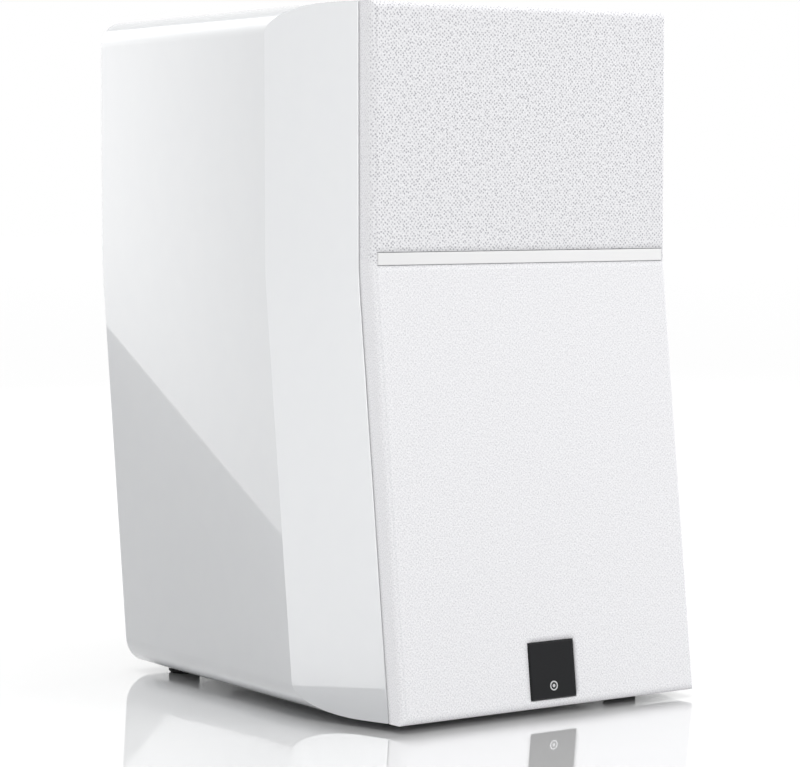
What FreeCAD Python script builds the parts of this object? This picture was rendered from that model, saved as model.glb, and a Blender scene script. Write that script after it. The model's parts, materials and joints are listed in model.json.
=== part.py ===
# Two-way bookshelf loudspeaker: a bent gloss cabinet with a full-height fabric grille,
# a 165 mm woofer, a 25 mm dome tweeter, a rear bass port, a crossover and screw terminals.
# Each piece is a separate solid, or a group of equal solids, in parts/NODE.step.
# Units are millimetres. X is to the right seen from the front, the front faces -Y and Z is up.
import FreeCAD
import Part

import math
import os

Vec = FreeCAD.Vector

# ---------------------------------------------------------------- driving dimensions

# Cabinet
HEIGHT = 380.0            # floor to top
FOOT_HEIGHT = 4.0         # gap between the floor and the cabinet
FRONT_HALF = 100.5        # half the width of the front face
SEAM_HALF = 118.0         # half the width at the seam between front facet and side wall
REAR_HALF = 108.0         # half the width of the rear face
FACET_DEPTH = 62.5        # front face to seam
CABINET_DEPTH = 252.0     # front face to rear face
EDGE_EASE = 0.8           # rounding of the edges round the front face
EDGE_RADIUS = 15.0        # lengthwise edges between the side walls, top and bottom
LEAN_ANGLE = math.radians(6.5)   # lean of the lower part, towards the front at the bottom
KINK_HEIGHT = 237.0       # where the leaning line would meet the vertical one
BEND_RADIUS = 200.0       # the bend between them
WALL = 12.5               # cabinet wall, measured across the cabinet
BAFFLE_THICKNESS = 16.0
REAR_PANEL_THICKNESS = 15.0
BRACE_THICKNESS = 12.0
BRACE_HEIGHT = 221.0      # underside of the brace
BRACE_RIB = 20.0          # width of the brace's rails
BRACE_CORNER = 10.0       # rounding of the brace's windows
GLUE_GAP = 0.2            # glue line between wooden pieces

# Grille
GRILLE_DEPTH = 12.5       # cabinet front to the grille's face
GRILLE_GAP = 0.8          # shadow line between cabinet and grille
GRILLE_RADIUS = 3.8       # rounding of the grille's front edges
CLOTH_THICKNESS = 0.6
CLOTH_EASE = 0.1          # between cloth and frame
FRAME_RIM = 12.0          # width of the frame's rim
FRAME_CORNER = 8.0        # rounding of the frame's windows
BAR_LOW = 242.5           # underside of the trim bar
BAR_HEIGHT = 6.5
BAR_THICKNESS = 2.6
BAR_PROUD = 0.3           # the bar stands out from the cloth
BAR_SEAM = 0.35           # dark gap round the bar
BAR_END_INSET = 3.2       # front's side edge to the bar's end
CROSSBAR_HEIGHT = 24.0    # frame's crossbar behind the trim bar
BADGE_SIZE = 30.8
BADGE_LIFT = 5.0          # cabinet's underside to the badge's lower edge
BADGE_OFFSET = 0.0        # from the centre line
BADGE_THICKNESS = 2.2
BADGE_PROUD = 0.8
BADGE_BEVEL = 0.7
BADGE_CORNER = 1.0
BADGE_PAD = 5.0           # frame's pad round the badge
MAGNET_RADIUS = 5.0
MAGNET_THICKNESS = 3.0
MAGNET_FIT = 0.1          # radial clearance of a magnet in its pocket
MAGNET_INSET = 20.5       # front's side edge to a magnet's centre
MAGNET_PAD = 8.5          # radius of the frame's pad round a magnet
MAGNET_HEIGHTS = (FOOT_HEIGHT + 34.0, BAR_LOW + 9.5, HEIGHT - 28.0)

# Woofer
WOOFER_HEIGHT = FOOT_HEIGHT + 130.0   # centre of the woofer on the cabinet's front
FLANGE_RADIUS = 83.0
FLANGE_THICKNESS = 4.0
FLANGE_LEDGE = 74.0       # radius where the flange steps down to the surround's seat
FLANGE_STEP = 1.5
BASKET_RADIUS = 70.5      # outside of the basket's skirt
BASKET_WALL = 2.6
BASKET_SKIRT = 18.0
BASKET_DEPTH = 46.0       # baffle's face to the front of the magnet system
BASKET_WINDOWS = 6
BASKET_OPEN_SHARE = 0.66  # of the way round the basket's cone
SEAT_RADIUS = 40.0        # spider seat
SEAT_DEPTH = 31.0
GASKET_THICKNESS = 1.0
FRAME_FIT = 0.4           # radial clearance of a driver in the baffle
ROLL_RADIUS = 6.6         # half-roll of the surround
ROLL_CENTRE = 59.0
ROLL_THICKNESS = 0.9
LIP_WIDTH = 4.5           # flat lips of the surround
CONE_THICKNESS = 1.0
CONE_NECK_DEPTH = 24.0
COIL_RADIUS = 16.0        # inside of the voice coil former
FORMER_WALL = 0.3
WINDING_THICKNESS = 0.8
WINDING_HEIGHT = 13.0
COIL_LENGTH = 33.0
COIL_GAP = 0.45           # radial clearance each side of the winding
TOP_PLATE_THICKNESS = 6.0
TOP_PLATE_RADIUS = 42.0
MAGNET_OUTER = 45.0
MAGNET_INNER = 21.5
MAGNET_DEPTH = 16.0
BACK_PLATE_THICKNESS = 6.0
SHORTING_HEIGHT = 5.0
DUST_CAP_RISE = 7.0
DUST_CAP_RADIUS = 19.0
DUST_CAP_WALL = 0.6
SPIDER_WAVES = 4
SPIDER_WAVE_HEIGHT = 1.1
SPIDER_THICKNESS = 0.6
WOOFER_SCREWS = 8

# Tweeter
TWEETER_HEIGHT = HEIGHT - 66.0
PLATE_RADIUS = 52.0
PLATE_THICKNESS = 4.0
HORN_MOUTH = 30.0
HORN_DEPTH = 3.4
DOME_RADIUS = 12.7
DOME_RISE = 5.0
DOME_THICKNESS = 0.35
DOME_ROLL = 1.4
TWEETER_PLATE_RADIUS = 36.0
TWEETER_TOP_PLATE = 4.0
TWEETER_MAGNET = 10.0
TWEETER_BACK_PLATE = 4.0
TWEETER_COIL_WALL = 0.35
TWEETER_COIL_HEIGHT = 3.0
TWEETER_COIL_GAP = 0.3
CHAMBER_RADIUS = 30.0
CHAMBER_DEPTH = 22.0
TWEETER_SCREWS = 4

# Screws
SCREW_RADIUS = 1.9
SCREW_HEAD_RADIUS = 3.8
SCREW_HEAD_HEIGHT = 2.4
SCREW_LENGTH = 14.0
SCREW_FIT = 0.1

# Port
PORT_HEIGHT = HEIGHT - 68.0
PORT_RADIUS = 24.0        # inside of the tube
PORT_WALL = 2.0
PORT_LENGTH = 118.0       # rear face to the tube's inner end
PORT_FLARE = 11.0         # radius of the outer flare
PORT_FLANGE_RADIUS = 47.0
PORT_FLANGE_THICKNESS = 3.0
PORT_SPIGOT = 16.0        # how far the flange's spigot runs inside the tube's socket
PORT_SCREWS = 4

# Terminals
CUP_HEIGHT = FOOT_HEIGHT + 88.0   # centre of the terminal cup on the cabinet's rear
CUP_WIDTH = 104.0
CUP_TALL = 74.0
CUP_CORNER = 8.0
CUP_FLANGE = 3.0
CUP_RIM = 10.0            # width of the cup's flange round its recess
CUP_RECESS = 31.0
CUP_WALL = 2.5
CUP_GASKET = 1.0
POST_SPACING = 19.05      # between the two banana sockets
POST_BORE = 2.0           # radius of the banana socket
POST_BORE_LENGTH = 17.0
POST_STEM_RADIUS = 3.4
POST_COLLAR_RADIUS = 7.0
POST_COLLAR = 3.0
POST_LENGTH = 24.0        # cup floor to the stem's end
WIRE_HOLE_RADIUS = 1.3
POST_FIT = 0.08           # running clearance between stem and knob
WASHER_RADIUS = 6.2
WASHER_THICKNESS = 1.2
KNOB_RADIUS = 7.2
KNOB_LENGTH = 19.5
KNOB_FLUTES = 16
NUT_ACROSS = 10.0
NUT_THICKNESS = 3.5
THREAD_LENGTH = 12.0

# Crossover
BOARD_WIDTH = 120.0
BOARD_DEPTH = 84.0
BOARD_THICKNESS = 1.6
STANDOFF = 7.0
BOARD_SCREW_RADIUS = 1.5
BOARD_SCREW_BITE = 8.0    # how far the board's screws go into the cabinet's bottom
BOARD_BACK_GAP = 18.0     # rear panel to the board's rear edge

# Feet and wadding
FOOT_RADIUS = 9.0
FOOT_INSET = 24.0         # cabinet's edges to a foot's centre
FOOT_SEAT = 1.5           # depth of a foot's seat in the cabinet
WADDING_THICKNESS = 18.0
WADDING_GAP = 0.3
WADDING_FRONT = 8.0       # seam to the pads' front edge
WADDING_REAR = 10.0       # rear panel to the pads' rear edge
WADDING_LIFT = 30.0       # cabinet's floor to the side pads
WADDING_SIDE = 12.0       # side walls to the top pad

# Board parts, as offsets from the board's middle: inductors (x, y, radius, height),
# capacitors (x, y, radius, length), resistors (x, y), terminal blocks (x, y, half width)
INDUCTORS = ((-36.0, -4.0, 19.0, 20.0), (38.0, -8.0, 15.0, 16.0))
CAPACITORS = ((0.0, -16.0, 8.0, 30.0), (2.0, 4.0, 7.0, 32.0), (38.0, 13.0, 4.5, 26.0))
RESISTORS = ((-34.0, 24.0), (36.0, 24.0))
TERMINAL_BLOCKS = ((-22.0, -36.0, 8.0), (24.0, -36.0, 8.0), (0.0, 34.0, 14.0))
BLOCK_DEPTH = 8.0
BLOCK_HEIGHT = 10.0
RESISTOR_LENGTH = 44.0
RESISTOR_SIDE = 9.0

# Tags and lugs
TAG_PLACES = (-3.5, 3.5)  # of the two tags, across
TAG_INNER = 46.0          # woofer's axis to the tag board's inner and outer sides
TAG_OUTER = 56.0
TAG_LOW = -52.0
TAG_LEVEL = -47.0
TAG_WIDTH = 2.8
TAG_THICKNESS = 0.8
TAG_ROOT = 4.0
TAG_REACH = 8.0
TWEETER_TAG_REACH = 8.0
LUG_THICKNESS = 0.8
LUG_REACH = 16.0
LUG_RADIUS = 5.0
LUG_WIDTH = 4.0

# Emblem: a dot and a ring
EMBLEM_RINGS = ((0.0, 0.9), (1.9, 2.6))
EMBLEM_DEPTH = 0.4
EMBLEM_DROP = -8.5        # below the badge's middle

# Internal leads, as points from their tags to the crossover; the first and last are worked out,
# and the OUT points count from the first and the IN points from the last
LEAD_RADIUS = 1.3
WOOFER_LEAD = ((0.0, 25.8, 48.0), (-6.0, 42.0, 36.0), (-14.0, 66.0, 31.0), (-22.0, 90.0, 30.2))
TWEETER_LEAD_OUT = ((0.0, 16.45, -1.0), (0.0, 34.45, -15.0))
TWEETER_LEAD = ((2.0, 78.0, 243.0), (6.0, 84.0, 213.0),
                (10.0, 87.0, 176.0), (15.0, 89.0, 138.0), (19.0, 89.0, 102.0), (23.0, 88.0, 70.0),
                (24.0, 88.0, 46.0), (24.0, 96.0, 30.1))
INPUT_LEAD_RUN = 16.0      # straight on from the lugs
INPUT_LEAD_IN = ((0.0, 0.0, 15.0),)

# ---------------------------------------------------------------- derived sizes

LOW = FOOT_HEIGHT                      # cabinet's underside
BEND_TANGENT = BEND_RADIUS * math.tan(LEAN_ANGLE / 2)
BEND_TOP = KINK_HEIGHT + BEND_TANGENT
BEND_LOW = KINK_HEIGHT - BEND_TANGENT * math.cos(LEAN_ANGLE)


# ---------------------------------------------------------------- shared geometry

def lean(z):
    """How far the cabinet's plan is shifted along Y at height z."""
    if z >= BEND_TOP:
        return 0.0
    if z <= BEND_LOW:
        return -(KINK_HEIGHT - z) * math.tan(LEAN_ANGLE)
    return -(BEND_RADIUS - math.sqrt(BEND_RADIUS ** 2 - (BEND_TOP - z) ** 2))


def lean_edges(z_low, z_high):
    """Edges of the leaning line from z_low up to z_high: a slanted line, an arc and a vertical line."""
    marks = [z_low] + [z for z in (BEND_LOW, BEND_TOP) if z_low < z < z_high] + [z_high]
    edges = []
    for low, high in zip(marks, marks[1:]):
        start = Vec(0, lean(low), low)
        end = Vec(0, lean(high), high)
        if low >= BEND_LOW and high <= BEND_TOP:
            middle_z = (low + high) / 2
            edges.append(Part.Arc(start, Vec(0, lean(middle_z), middle_z), end).toShape())
        else:
            edges.append(Part.makeLine(start, end))
    return edges


def closed_solid(faces):
    """Solid inside a set of faces that meet edge to edge."""
    skin = Part.Compound(faces)
    skin.sewShape()
    solid = Part.makeSolid(skin.Shells[0])
    if solid.Volume < 0:
        solid.reverse()
    return solid


def bent_prism(plan, z_low, z_high):
    """Solid whose plan, a list of (x, y) corners, follows the cabinet's lean between two heights."""
    faces = []
    for (x0, y0), (x1, y1) in zip(plan, plan[1:] + plan[:1]):
        for edge in lean_edges(z_low, z_high):
            edge.translate(Vec(x0, y0, 0))
            faces.append(edge.extrude(Vec(x1 - x0, y1 - y0, 0)))
    for z in (z_low, z_high):
        corners = [Vec(x, y + lean(z), z) for x, y in plan]
        faces.append(Part.Face(Part.makePolygon(corners + corners[:1])))
    return closed_solid(faces)


def outer_half(y):
    """Half the cabinet's width at depth y behind its front face."""
    if y < FACET_DEPTH:
        return FRONT_HALF + (SEAM_HALF - FRONT_HALF) * y / FACET_DEPTH
    return SEAM_HALF + (REAR_HALF - SEAM_HALF) * (y - FACET_DEPTH) / (CABINET_DEPTH - FACET_DEPTH)


def inner_plan(front, rear, gap):
    """Plan inside the cabinet's walls from depth front to depth rear, kept gap away from the walls."""
    depths = [front] + [FACET_DEPTH] * (front < FACET_DEPTH < rear) + [rear]
    right = [(outer_half(y) - WALL - gap, y) for y in depths]
    return right + [(-x, y) for x, y in reversed(right)]


def front_place(z, out=0.0):
    """Placement on the cabinet's front at height z: local +Z points out of it and local +Y up it."""
    tilt = LEAN_ANGLE if z < BEND_LOW else 0.0
    place = FreeCAD.Placement(Vec(0, lean(z), z), FreeCAD.Rotation(Vec(1, 0, 0), 90 - math.degrees(tilt)))
    return place * FreeCAD.Placement(Vec(0, 0, out), FreeCAD.Rotation())


def rear_place(z):
    """Placement on the cabinet's rear at height z: local +Z points out of it and local +Y up it."""
    tilt = LEAN_ANGLE if z < BEND_LOW else 0.0
    turn = FreeCAD.Rotation(Vec(1, 0, 0), -90 - math.degrees(tilt)) * FreeCAD.Rotation(Vec(0, 0, 1), 180)
    return FreeCAD.Placement(Vec(0, CABINET_DEPTH + lean(z), z), turn)


def placed(shape, place):
    """Copy of a shape moved from its local frame to a placement."""
    return shape.transformed(place.toMatrix(), True)


def turned(corners):
    """Solid of revolution about local Z of a closed outline of (radius, height) corners."""
    points = [Vec(r, 0, h) for r, h in corners]
    return turned_wire(Part.makePolygon(points + points[:1]))


def turned_wire(wire):
    """Solid of revolution about local Z of a closed wire in the XZ plane."""
    solid = Part.Face(wire).revolve(Vec(0, 0, 0), Vec(0, 0, 1), 360)
    if solid.Volume < 0:
        solid.reverse()
    return solid


def ring(outer, inner, low, high):
    """Flat-ended ring about local Z."""
    return turned([(inner, low), (outer, low), (outer, high), (inner, high)])


def dome(radius, rise, wall, base):
    """Spherical cap of even wall about local Z, with its rim on height base."""
    sphere = (radius ** 2 + rise ** 2) / (2 * rise)
    centre = base + rise - sphere
    outside = Part.makeSphere(sphere, Vec(0, 0, centre))
    inside = Part.makeSphere(sphere - wall, Vec(0, 0, centre))
    return outside.cut(inside).common(disc(2 * radius, base, base + 2 * rise))


def disc(radius, low, high, x=0.0, y=0.0):
    """Cylinder along local Z."""
    return Part.makeCylinder(radius, high - low, Vec(x, y, low))


def block(x_low, x_high, y_low, y_high, z_low, z_high):
    """Box between two corners."""
    return Part.makeBox(x_high - x_low, y_high - y_low, z_high - z_low, Vec(x_low, y_low, z_low))


def plate(width, tall, corner, low, high):
    """Rectangular plate about local Z with rounded corners."""
    body = block(-width / 2, width / 2, -tall / 2, tall / 2, low, high)
    upright = [e for e in body.Edges if abs(e.tangentAt(e.FirstParameter).z) > 0.5]
    return body.makeFillet(corner, upright)


def around(shape, count, start=0.0):
    """Copies of a shape turned evenly about local Z."""
    copies = []
    for i in range(count):
        copy = shape.copy()
        copy.rotate(Vec(0, 0, 0), Vec(0, 0, 1), start + 360.0 * i / count)
        copies.append(copy)
    return copies


def at_corners(shape, x, y):
    """Copies of a shape at four corners of a rectangle."""
    return [shape.translated(Vec(sx * x, sy * y, 0)) for sx in (-1, 1) for sy in (-1, 1)]


def screw(seat):
    """Pan-head wood screw along local -Z with its head on height seat."""
    head = disc(SCREW_HEAD_RADIUS, seat, seat + SCREW_HEAD_HEIGHT)
    rim = [e for e in head.Edges if e.BoundBox.ZMin > seat + SCREW_HEAD_HEIGHT / 2 and e.Closed]
    head = head.makeFillet(SCREW_HEAD_HEIGHT * 0.4, rim)
    slot_depth = SCREW_HEAD_HEIGHT * 0.55
    slot = SCREW_HEAD_RADIUS * 0.9
    top = seat + SCREW_HEAD_HEIGHT
    cross = block(-slot / 2, slot / 2, -0.4, 0.4, top - slot_depth, top + 1)
    cross = cross.fuse(block(-0.4, 0.4, -slot / 2, slot / 2, top - slot_depth, top + 1))
    return head.cut(cross).fuse(disc(SCREW_RADIUS, seat - SCREW_LENGTH, seat))


def screw_hole(seat):
    """Hole that a screw with its head on height seat runs in, in frame and wood."""
    return disc(SCREW_RADIUS + SCREW_FIT, seat - SCREW_LENGTH - 1, seat + 1)


def group(shapes):
    """Separate solids of one node."""
    return Part.Compound(list(shapes))


# ---------------------------------------------------------------- fastener places

def woofer_screw_places(shape):
    """Copies of a shape at the screws round the woofer's flange."""
    radius = (FLANGE_RADIUS + FLANGE_LEDGE) / 2
    return around(shape.translated(Vec(radius, 0, 0)), WOOFER_SCREWS, 180.0 / WOOFER_SCREWS)


def tweeter_screw_places(shape):
    """Copies of a shape at the screws round the tweeter's faceplate."""
    radius = PLATE_RADIUS - SCREW_HEAD_RADIUS - 2.0
    return around(shape.translated(Vec(radius, 0, 0)), TWEETER_SCREWS, 180.0 / TWEETER_SCREWS)


def port_screw_places(shape):
    """Copies of a shape at the screws round the port's flange."""
    radius = PORT_FLANGE_RADIUS - SCREW_HEAD_RADIUS - 0.4
    return around(shape.translated(Vec(radius, 0, 0)), PORT_SCREWS, 180.0 / PORT_SCREWS)


def cup_screw_places(shape):
    """Copies of a shape at the screws in the terminal cup's corners."""
    inset = SCREW_HEAD_RADIUS + 1.4
    return at_corners(shape, CUP_WIDTH / 2 - inset, CUP_TALL / 2 - inset)


def magnet_places(shape, out):
    """Copies of a shape at the magnets on both sides, moved out of the cabinet's front."""
    x = FRONT_HALF - MAGNET_INSET
    places = []
    for z in MAGNET_HEIGHTS:
        for side in (-x, x):
            places.append(placed(shape.translated(Vec(side, 0, 0)), front_place(z, out)))
    return places


def foot_places(shape):
    """Copies of a shape at the four feet."""
    front_y = lean(LOW) + FOOT_INSET
    rear_y = lean(LOW) + CABINET_DEPTH - FOOT_INSET
    corners = [(FRONT_HALF - FOOT_INSET, front_y), (REAR_HALF - FOOT_INSET, rear_y)]
    return [shape.translated(Vec(side * x, y, 0)) for x, y in corners for side in (-1, 1)]


# ---------------------------------------------------------------- cabinet

def rounded_prism(half_front, half_rear, depth, z_low, z_high, radius):
    """Bent prism with flat tapering sides and rounded lengthwise edges."""
    body = bent_prism([(-half_front, 0), (half_front, 0), (half_rear, depth), (-half_rear, depth)], z_low, z_high)
    corners = []
    for edge in body.Edges:
        box = edge.BoundBox
        level = box.ZLength < 0.01 and (abs(box.ZMin - z_low) < 0.01 or abs(box.ZMin - z_high) < 0.01)
        if level and box.YLength > depth / 2:
            corners.append(edge)
    return body.makeFillet(radius, corners)


def facet_wedge(side):
    """Solid outside one front facet, on the left (-1) or the right (1)."""
    run = Vec(SEAM_HALF - FRONT_HALF, FACET_DEPTH, 0)
    start = Vec(FRONT_HALF, 0, 0) - run * 0.3
    end = Vec(SEAM_HALF, FACET_DEPTH, 0) + run * 0.3
    far = SEAM_HALF + 60
    plan = [(start.x, start.y), (far, start.y), (far, end.y), (end.x, end.y)]
    plan = [(side * x, y) for x, y in plan]
    return bent_prism(plan, LOW - 2, HEIGHT + 2)


def front_edges(shell):
    """Edges round the shell's front face."""
    found = []
    for edge in shell.Edges:
        points = [edge.valueAt(edge.FirstParameter + (edge.LastParameter - edge.FirstParameter) * t)
                  for t in (0.0, 0.5, 1.0)]
        if all(abs(p.y - lean(p.z)) < 0.01 for p in points):
            found.append(edge)
    return found


def cabinet_shell():
    """Top, bottom and side walls, in one wrap, with the front facets and rounded edges."""
    taper = (SEAM_HALF - REAR_HALF) / (CABINET_DEPTH - FACET_DEPTH)
    shell = rounded_prism(SEAM_HALF + taper * FACET_DEPTH, REAR_HALF, CABINET_DEPTH, LOW, HEIGHT, EDGE_RADIUS)
    shell = shell.cut(facet_wedge(-1)).cut(facet_wedge(1))
    shell = shell.makeFillet(EDGE_EASE, front_edges(shell))
    past = 2.0                # the cavity's tool runs past both ends
    front_half = outer_half(0) - WALL
    seam_half = outer_half(FACET_DEPTH) - WALL
    rear_half = outer_half(CABINET_DEPTH) - WALL
    right = [(front_half, -past), (front_half, 0), (seam_half, FACET_DEPTH), (rear_half, CABINET_DEPTH),
             (rear_half, CABINET_DEPTH + past)]
    cavity = right + [(-x, y) for x, y in reversed(right)]
    shell = shell.cut(bent_prism(cavity, LOW + WALL, HEIGHT - WALL))
    for seat in foot_places(disc(FOOT_RADIUS + 0.1, LOW - 1, LOW + FOOT_SEAT)):
        shell = shell.cut(seat)
    for hole in crossover_screw_places(disc(BOARD_SCREW_RADIUS + SCREW_FIT, LOW + WALL - BOARD_SCREW_BITE - 0.5,
                                            LOW + WALL + 1)):
        shell = shell.cut(hole)
    return shell


def front_baffle():
    """Bent front board that carries the two drivers and the grille's magnets."""
    board = bent_prism(inner_plan(0, BAFFLE_THICKNESS, GLUE_GAP), LOW + WALL + GLUE_GAP, HEIGHT - WALL - GLUE_GAP)
    woofer_cuts = [disc(FLANGE_RADIUS + FRAME_FIT, -FLANGE_THICKNESS - GASKET_THICKNESS, 5),
                   disc(BASKET_RADIUS + FRAME_FIT, -3 * BAFFLE_THICKNESS, 5)]
    woofer_cuts += woofer_screw_places(screw_hole(0))
    tweeter_cuts = [disc(PLATE_RADIUS + FRAME_FIT, -PLATE_THICKNESS, 5),
                    disc(TWEETER_PLATE_RADIUS + 2.0, -3 * BAFFLE_THICKNESS, 5)]
    tweeter_cuts += tweeter_screw_places(screw_hole(0))
    cuts = [placed(cut, front_place(WOOFER_HEIGHT)) for cut in woofer_cuts]
    cuts += [placed(cut, front_place(TWEETER_HEIGHT)) for cut in tweeter_cuts]
    cuts += magnet_places(disc(MAGNET_RADIUS + MAGNET_FIT, -MAGNET_THICKNESS - 0.1, 2), 0)
    return board.cut(Part.Compound(cuts))


def rear_panel():
    """Bent rear board with the openings for the port and the terminal cup."""
    front = CABINET_DEPTH - REAR_PANEL_THICKNESS
    half = outer_half(CABINET_DEPTH) - WALL - GLUE_GAP
    plan = [(-half, front), (half, front), (half, CABINET_DEPTH), (-half, CABINET_DEPTH)]
    board = bent_prism(plan, LOW + WALL + GLUE_GAP, HEIGHT - WALL - GLUE_GAP)
    port_cuts = [disc(PORT_FLANGE_RADIUS + FRAME_FIT, -PORT_FLANGE_THICKNESS, 5),
                 disc(PORT_RADIUS + PORT_FLARE + 3.0 + FRAME_FIT, -3 * REAR_PANEL_THICKNESS, 5)]
    port_cuts += port_screw_places(screw_hole(0))
    cup_body_width = CUP_WIDTH - 2 * CUP_RIM + 2 * CUP_WALL
    cup_body_tall = CUP_TALL - 2 * CUP_RIM + 2 * CUP_WALL
    cup_cuts = [plate(CUP_WIDTH + 2 * FRAME_FIT, CUP_TALL + 2 * FRAME_FIT, CUP_CORNER + FRAME_FIT,
                      -CUP_FLANGE - CUP_GASKET, 5),
                plate(cup_body_width + 2 * FRAME_FIT, cup_body_tall + 2 * FRAME_FIT, CUP_CORNER / 2 + CUP_WALL,
                      -3 * REAR_PANEL_THICKNESS, 5)]
    cup_cuts += cup_screw_places(screw_hole(0))
    cuts = [placed(cut, rear_place(PORT_HEIGHT)) for cut in port_cuts]
    cuts += [placed(cut, rear_place(CUP_HEIGHT)) for cut in cup_cuts]
    return board.cut(Part.Compound(cuts))


def cabinet_brace():
    """Window brace between the woofer's chamber and the tweeter's, glued to all four boards."""
    front = BAFFLE_THICKNESS + GLUE_GAP
    rear = CABINET_DEPTH - REAR_PANEL_THICKNESS - GLUE_GAP
    low = BRACE_HEIGHT
    high = BRACE_HEIGHT + BRACE_THICKNESS
    brace = bent_prism(inner_plan(front, rear, GLUE_GAP), low, high)
    window_half = outer_half(CABINET_DEPTH) - WALL - BRACE_RIB
    middle = (front + rear) / 2
    shift = lean(low)
    for y_low, y_high in ((front + BRACE_RIB, middle - BRACE_RIB / 2), (middle + BRACE_RIB / 2, rear - BRACE_RIB)):
        window = block(-window_half, window_half, y_low + shift, y_high + shift, low - 1, high + 1)
        upright = [e for e in window.Edges if e.BoundBox.ZLength > BRACE_THICKNESS]
        brace = brace.cut(window.makeFillet(BRACE_CORNER, upright))
    return brace


def wadding_pads():
    """Polyester pads on both side walls of the lower chamber and under the top of the upper one."""
    front = FACET_DEPTH + WADDING_FRONT
    rear = CABINET_DEPTH - REAR_PANEL_THICKNESS - WADDING_REAR
    pads = []
    for side in (-1, 1):
        outer = [(outer_half(y) - WALL - WADDING_GAP, y) for y in (front, rear)]
        plan = outer + [(x - WADDING_THICKNESS, y) for x, y in reversed(outer)]
        plan = [(side * x, y) for x, y in plan]
        pads.append(bent_prism(plan, LOW + WALL + WADDING_LIFT, BRACE_HEIGHT - 4))
    top = HEIGHT - WALL - WADDING_GAP
    pads.append(bent_prism(inner_plan(front, rear, WADDING_SIDE), top - WADDING_THICKNESS, top))
    return group(pads)


def rubber_feet():
    """Four rubber feet seated in the cabinet's underside."""
    foot = turned([(0, 0), (FOOT_RADIUS - 1.2, 0), (FOOT_RADIUS, 1.2), (FOOT_RADIUS, LOW + FOOT_SEAT),
                   (0, LOW + FOOT_SEAT)])
    return group(foot_places(foot))


# ---------------------------------------------------------------- grille

def grille_front(z, depth):
    """Y of the grille's face at height z, for a face depth in front of the cabinet's upper front."""
    return -depth - max(0.0, BAR_LOW - z) * math.tan(LEAN_ANGLE)


def grille_block(depth, half, z_low, z_high, radius, back):
    """Grille-shaped solid: a straight face above the bend and a leaning one below it, with rounded front edges."""
    face_line = [Vec(0, grille_front(z_high, depth), z_high), Vec(0, -depth, BAR_LOW),
                 Vec(0, grille_front(z_low, depth), z_low)]
    edges = [Part.makeLine(a, b) for a, b in zip(face_line, face_line[1:])]
    for edge in lean_edges(z_low, z_high):
        edge.translate(Vec(0, -back, 0))
        edges.append(edge)
    for z in (z_low, z_high):
        edges.append(Part.makeLine(Vec(0, grille_front(z, depth), z), Vec(0, lean(z) - back, z)))
    side = Part.Face(Part.Wire(Part.__sortEdges__(edges)))
    side.translate(Vec(-half, 0, 0))
    body = side.extrude(Vec(2 * half, 0, 0))
    if body.Volume < 0:
        body.reverse()
    rounded = []
    for edge in body.Edges:
        ends = [v.Point for v in edge.Vertexes]
        on_face = all(abs(p.y - grille_front(p.z, depth)) < 0.01 for p in ends)
        at_kink = all(abs(p.z - BAR_LOW) < 0.01 for p in ends)
        if on_face and not at_kink:
            rounded.append(edge)
    return body.makeFillet(radius, rounded)


def bar_outline(grow, depth_low, depth_high):
    """Box round the trim bar, grown sideways and in height, between two depths in front of the cabinet."""
    half = FRONT_HALF - BAR_END_INSET + grow
    return block(-half, half, -depth_high, -depth_low, BAR_LOW - grow, BAR_LOW + BAR_HEIGHT + grow)


def badge_place():
    """Placement of the badge's middle on the grille's leaning face."""
    z = LOW + BADGE_LIFT + BADGE_SIZE / 2
    turn = FreeCAD.Rotation(Vec(1, 0, 0), 90 - math.degrees(LEAN_ANGLE))
    return FreeCAD.Placement(Vec(BADGE_OFFSET, grille_front(z, GRILLE_DEPTH), z), turn)


def badge_outline(grow, low, high):
    """Rounded square round the badge."""
    size = BADGE_SIZE + 2 * grow
    return placed(plate(size, size, BADGE_CORNER + grow, low, high), badge_place())


def grille_cloth():
    """Cloth skin over the frame's front and four sides, open at the back and at the bar and badge."""
    outer = grille_block(GRILLE_DEPTH, FRONT_HALF, LOW, HEIGHT, GRILLE_RADIUS, GRILLE_GAP)
    skin = CLOTH_THICKNESS
    inner = grille_block(GRILLE_DEPTH - skin, FRONT_HALF - skin, LOW + skin, HEIGHT - skin,
                         GRILLE_RADIUS - skin, GRILLE_GAP - 2)
    cloth = outer.cut(inner)
    cloth = cloth.cut(bar_outline(BAR_SEAM, GRILLE_DEPTH - 3, GRILLE_DEPTH + 3))
    return cloth.cut(badge_outline(BAR_SEAM, -3, 3))


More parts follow.
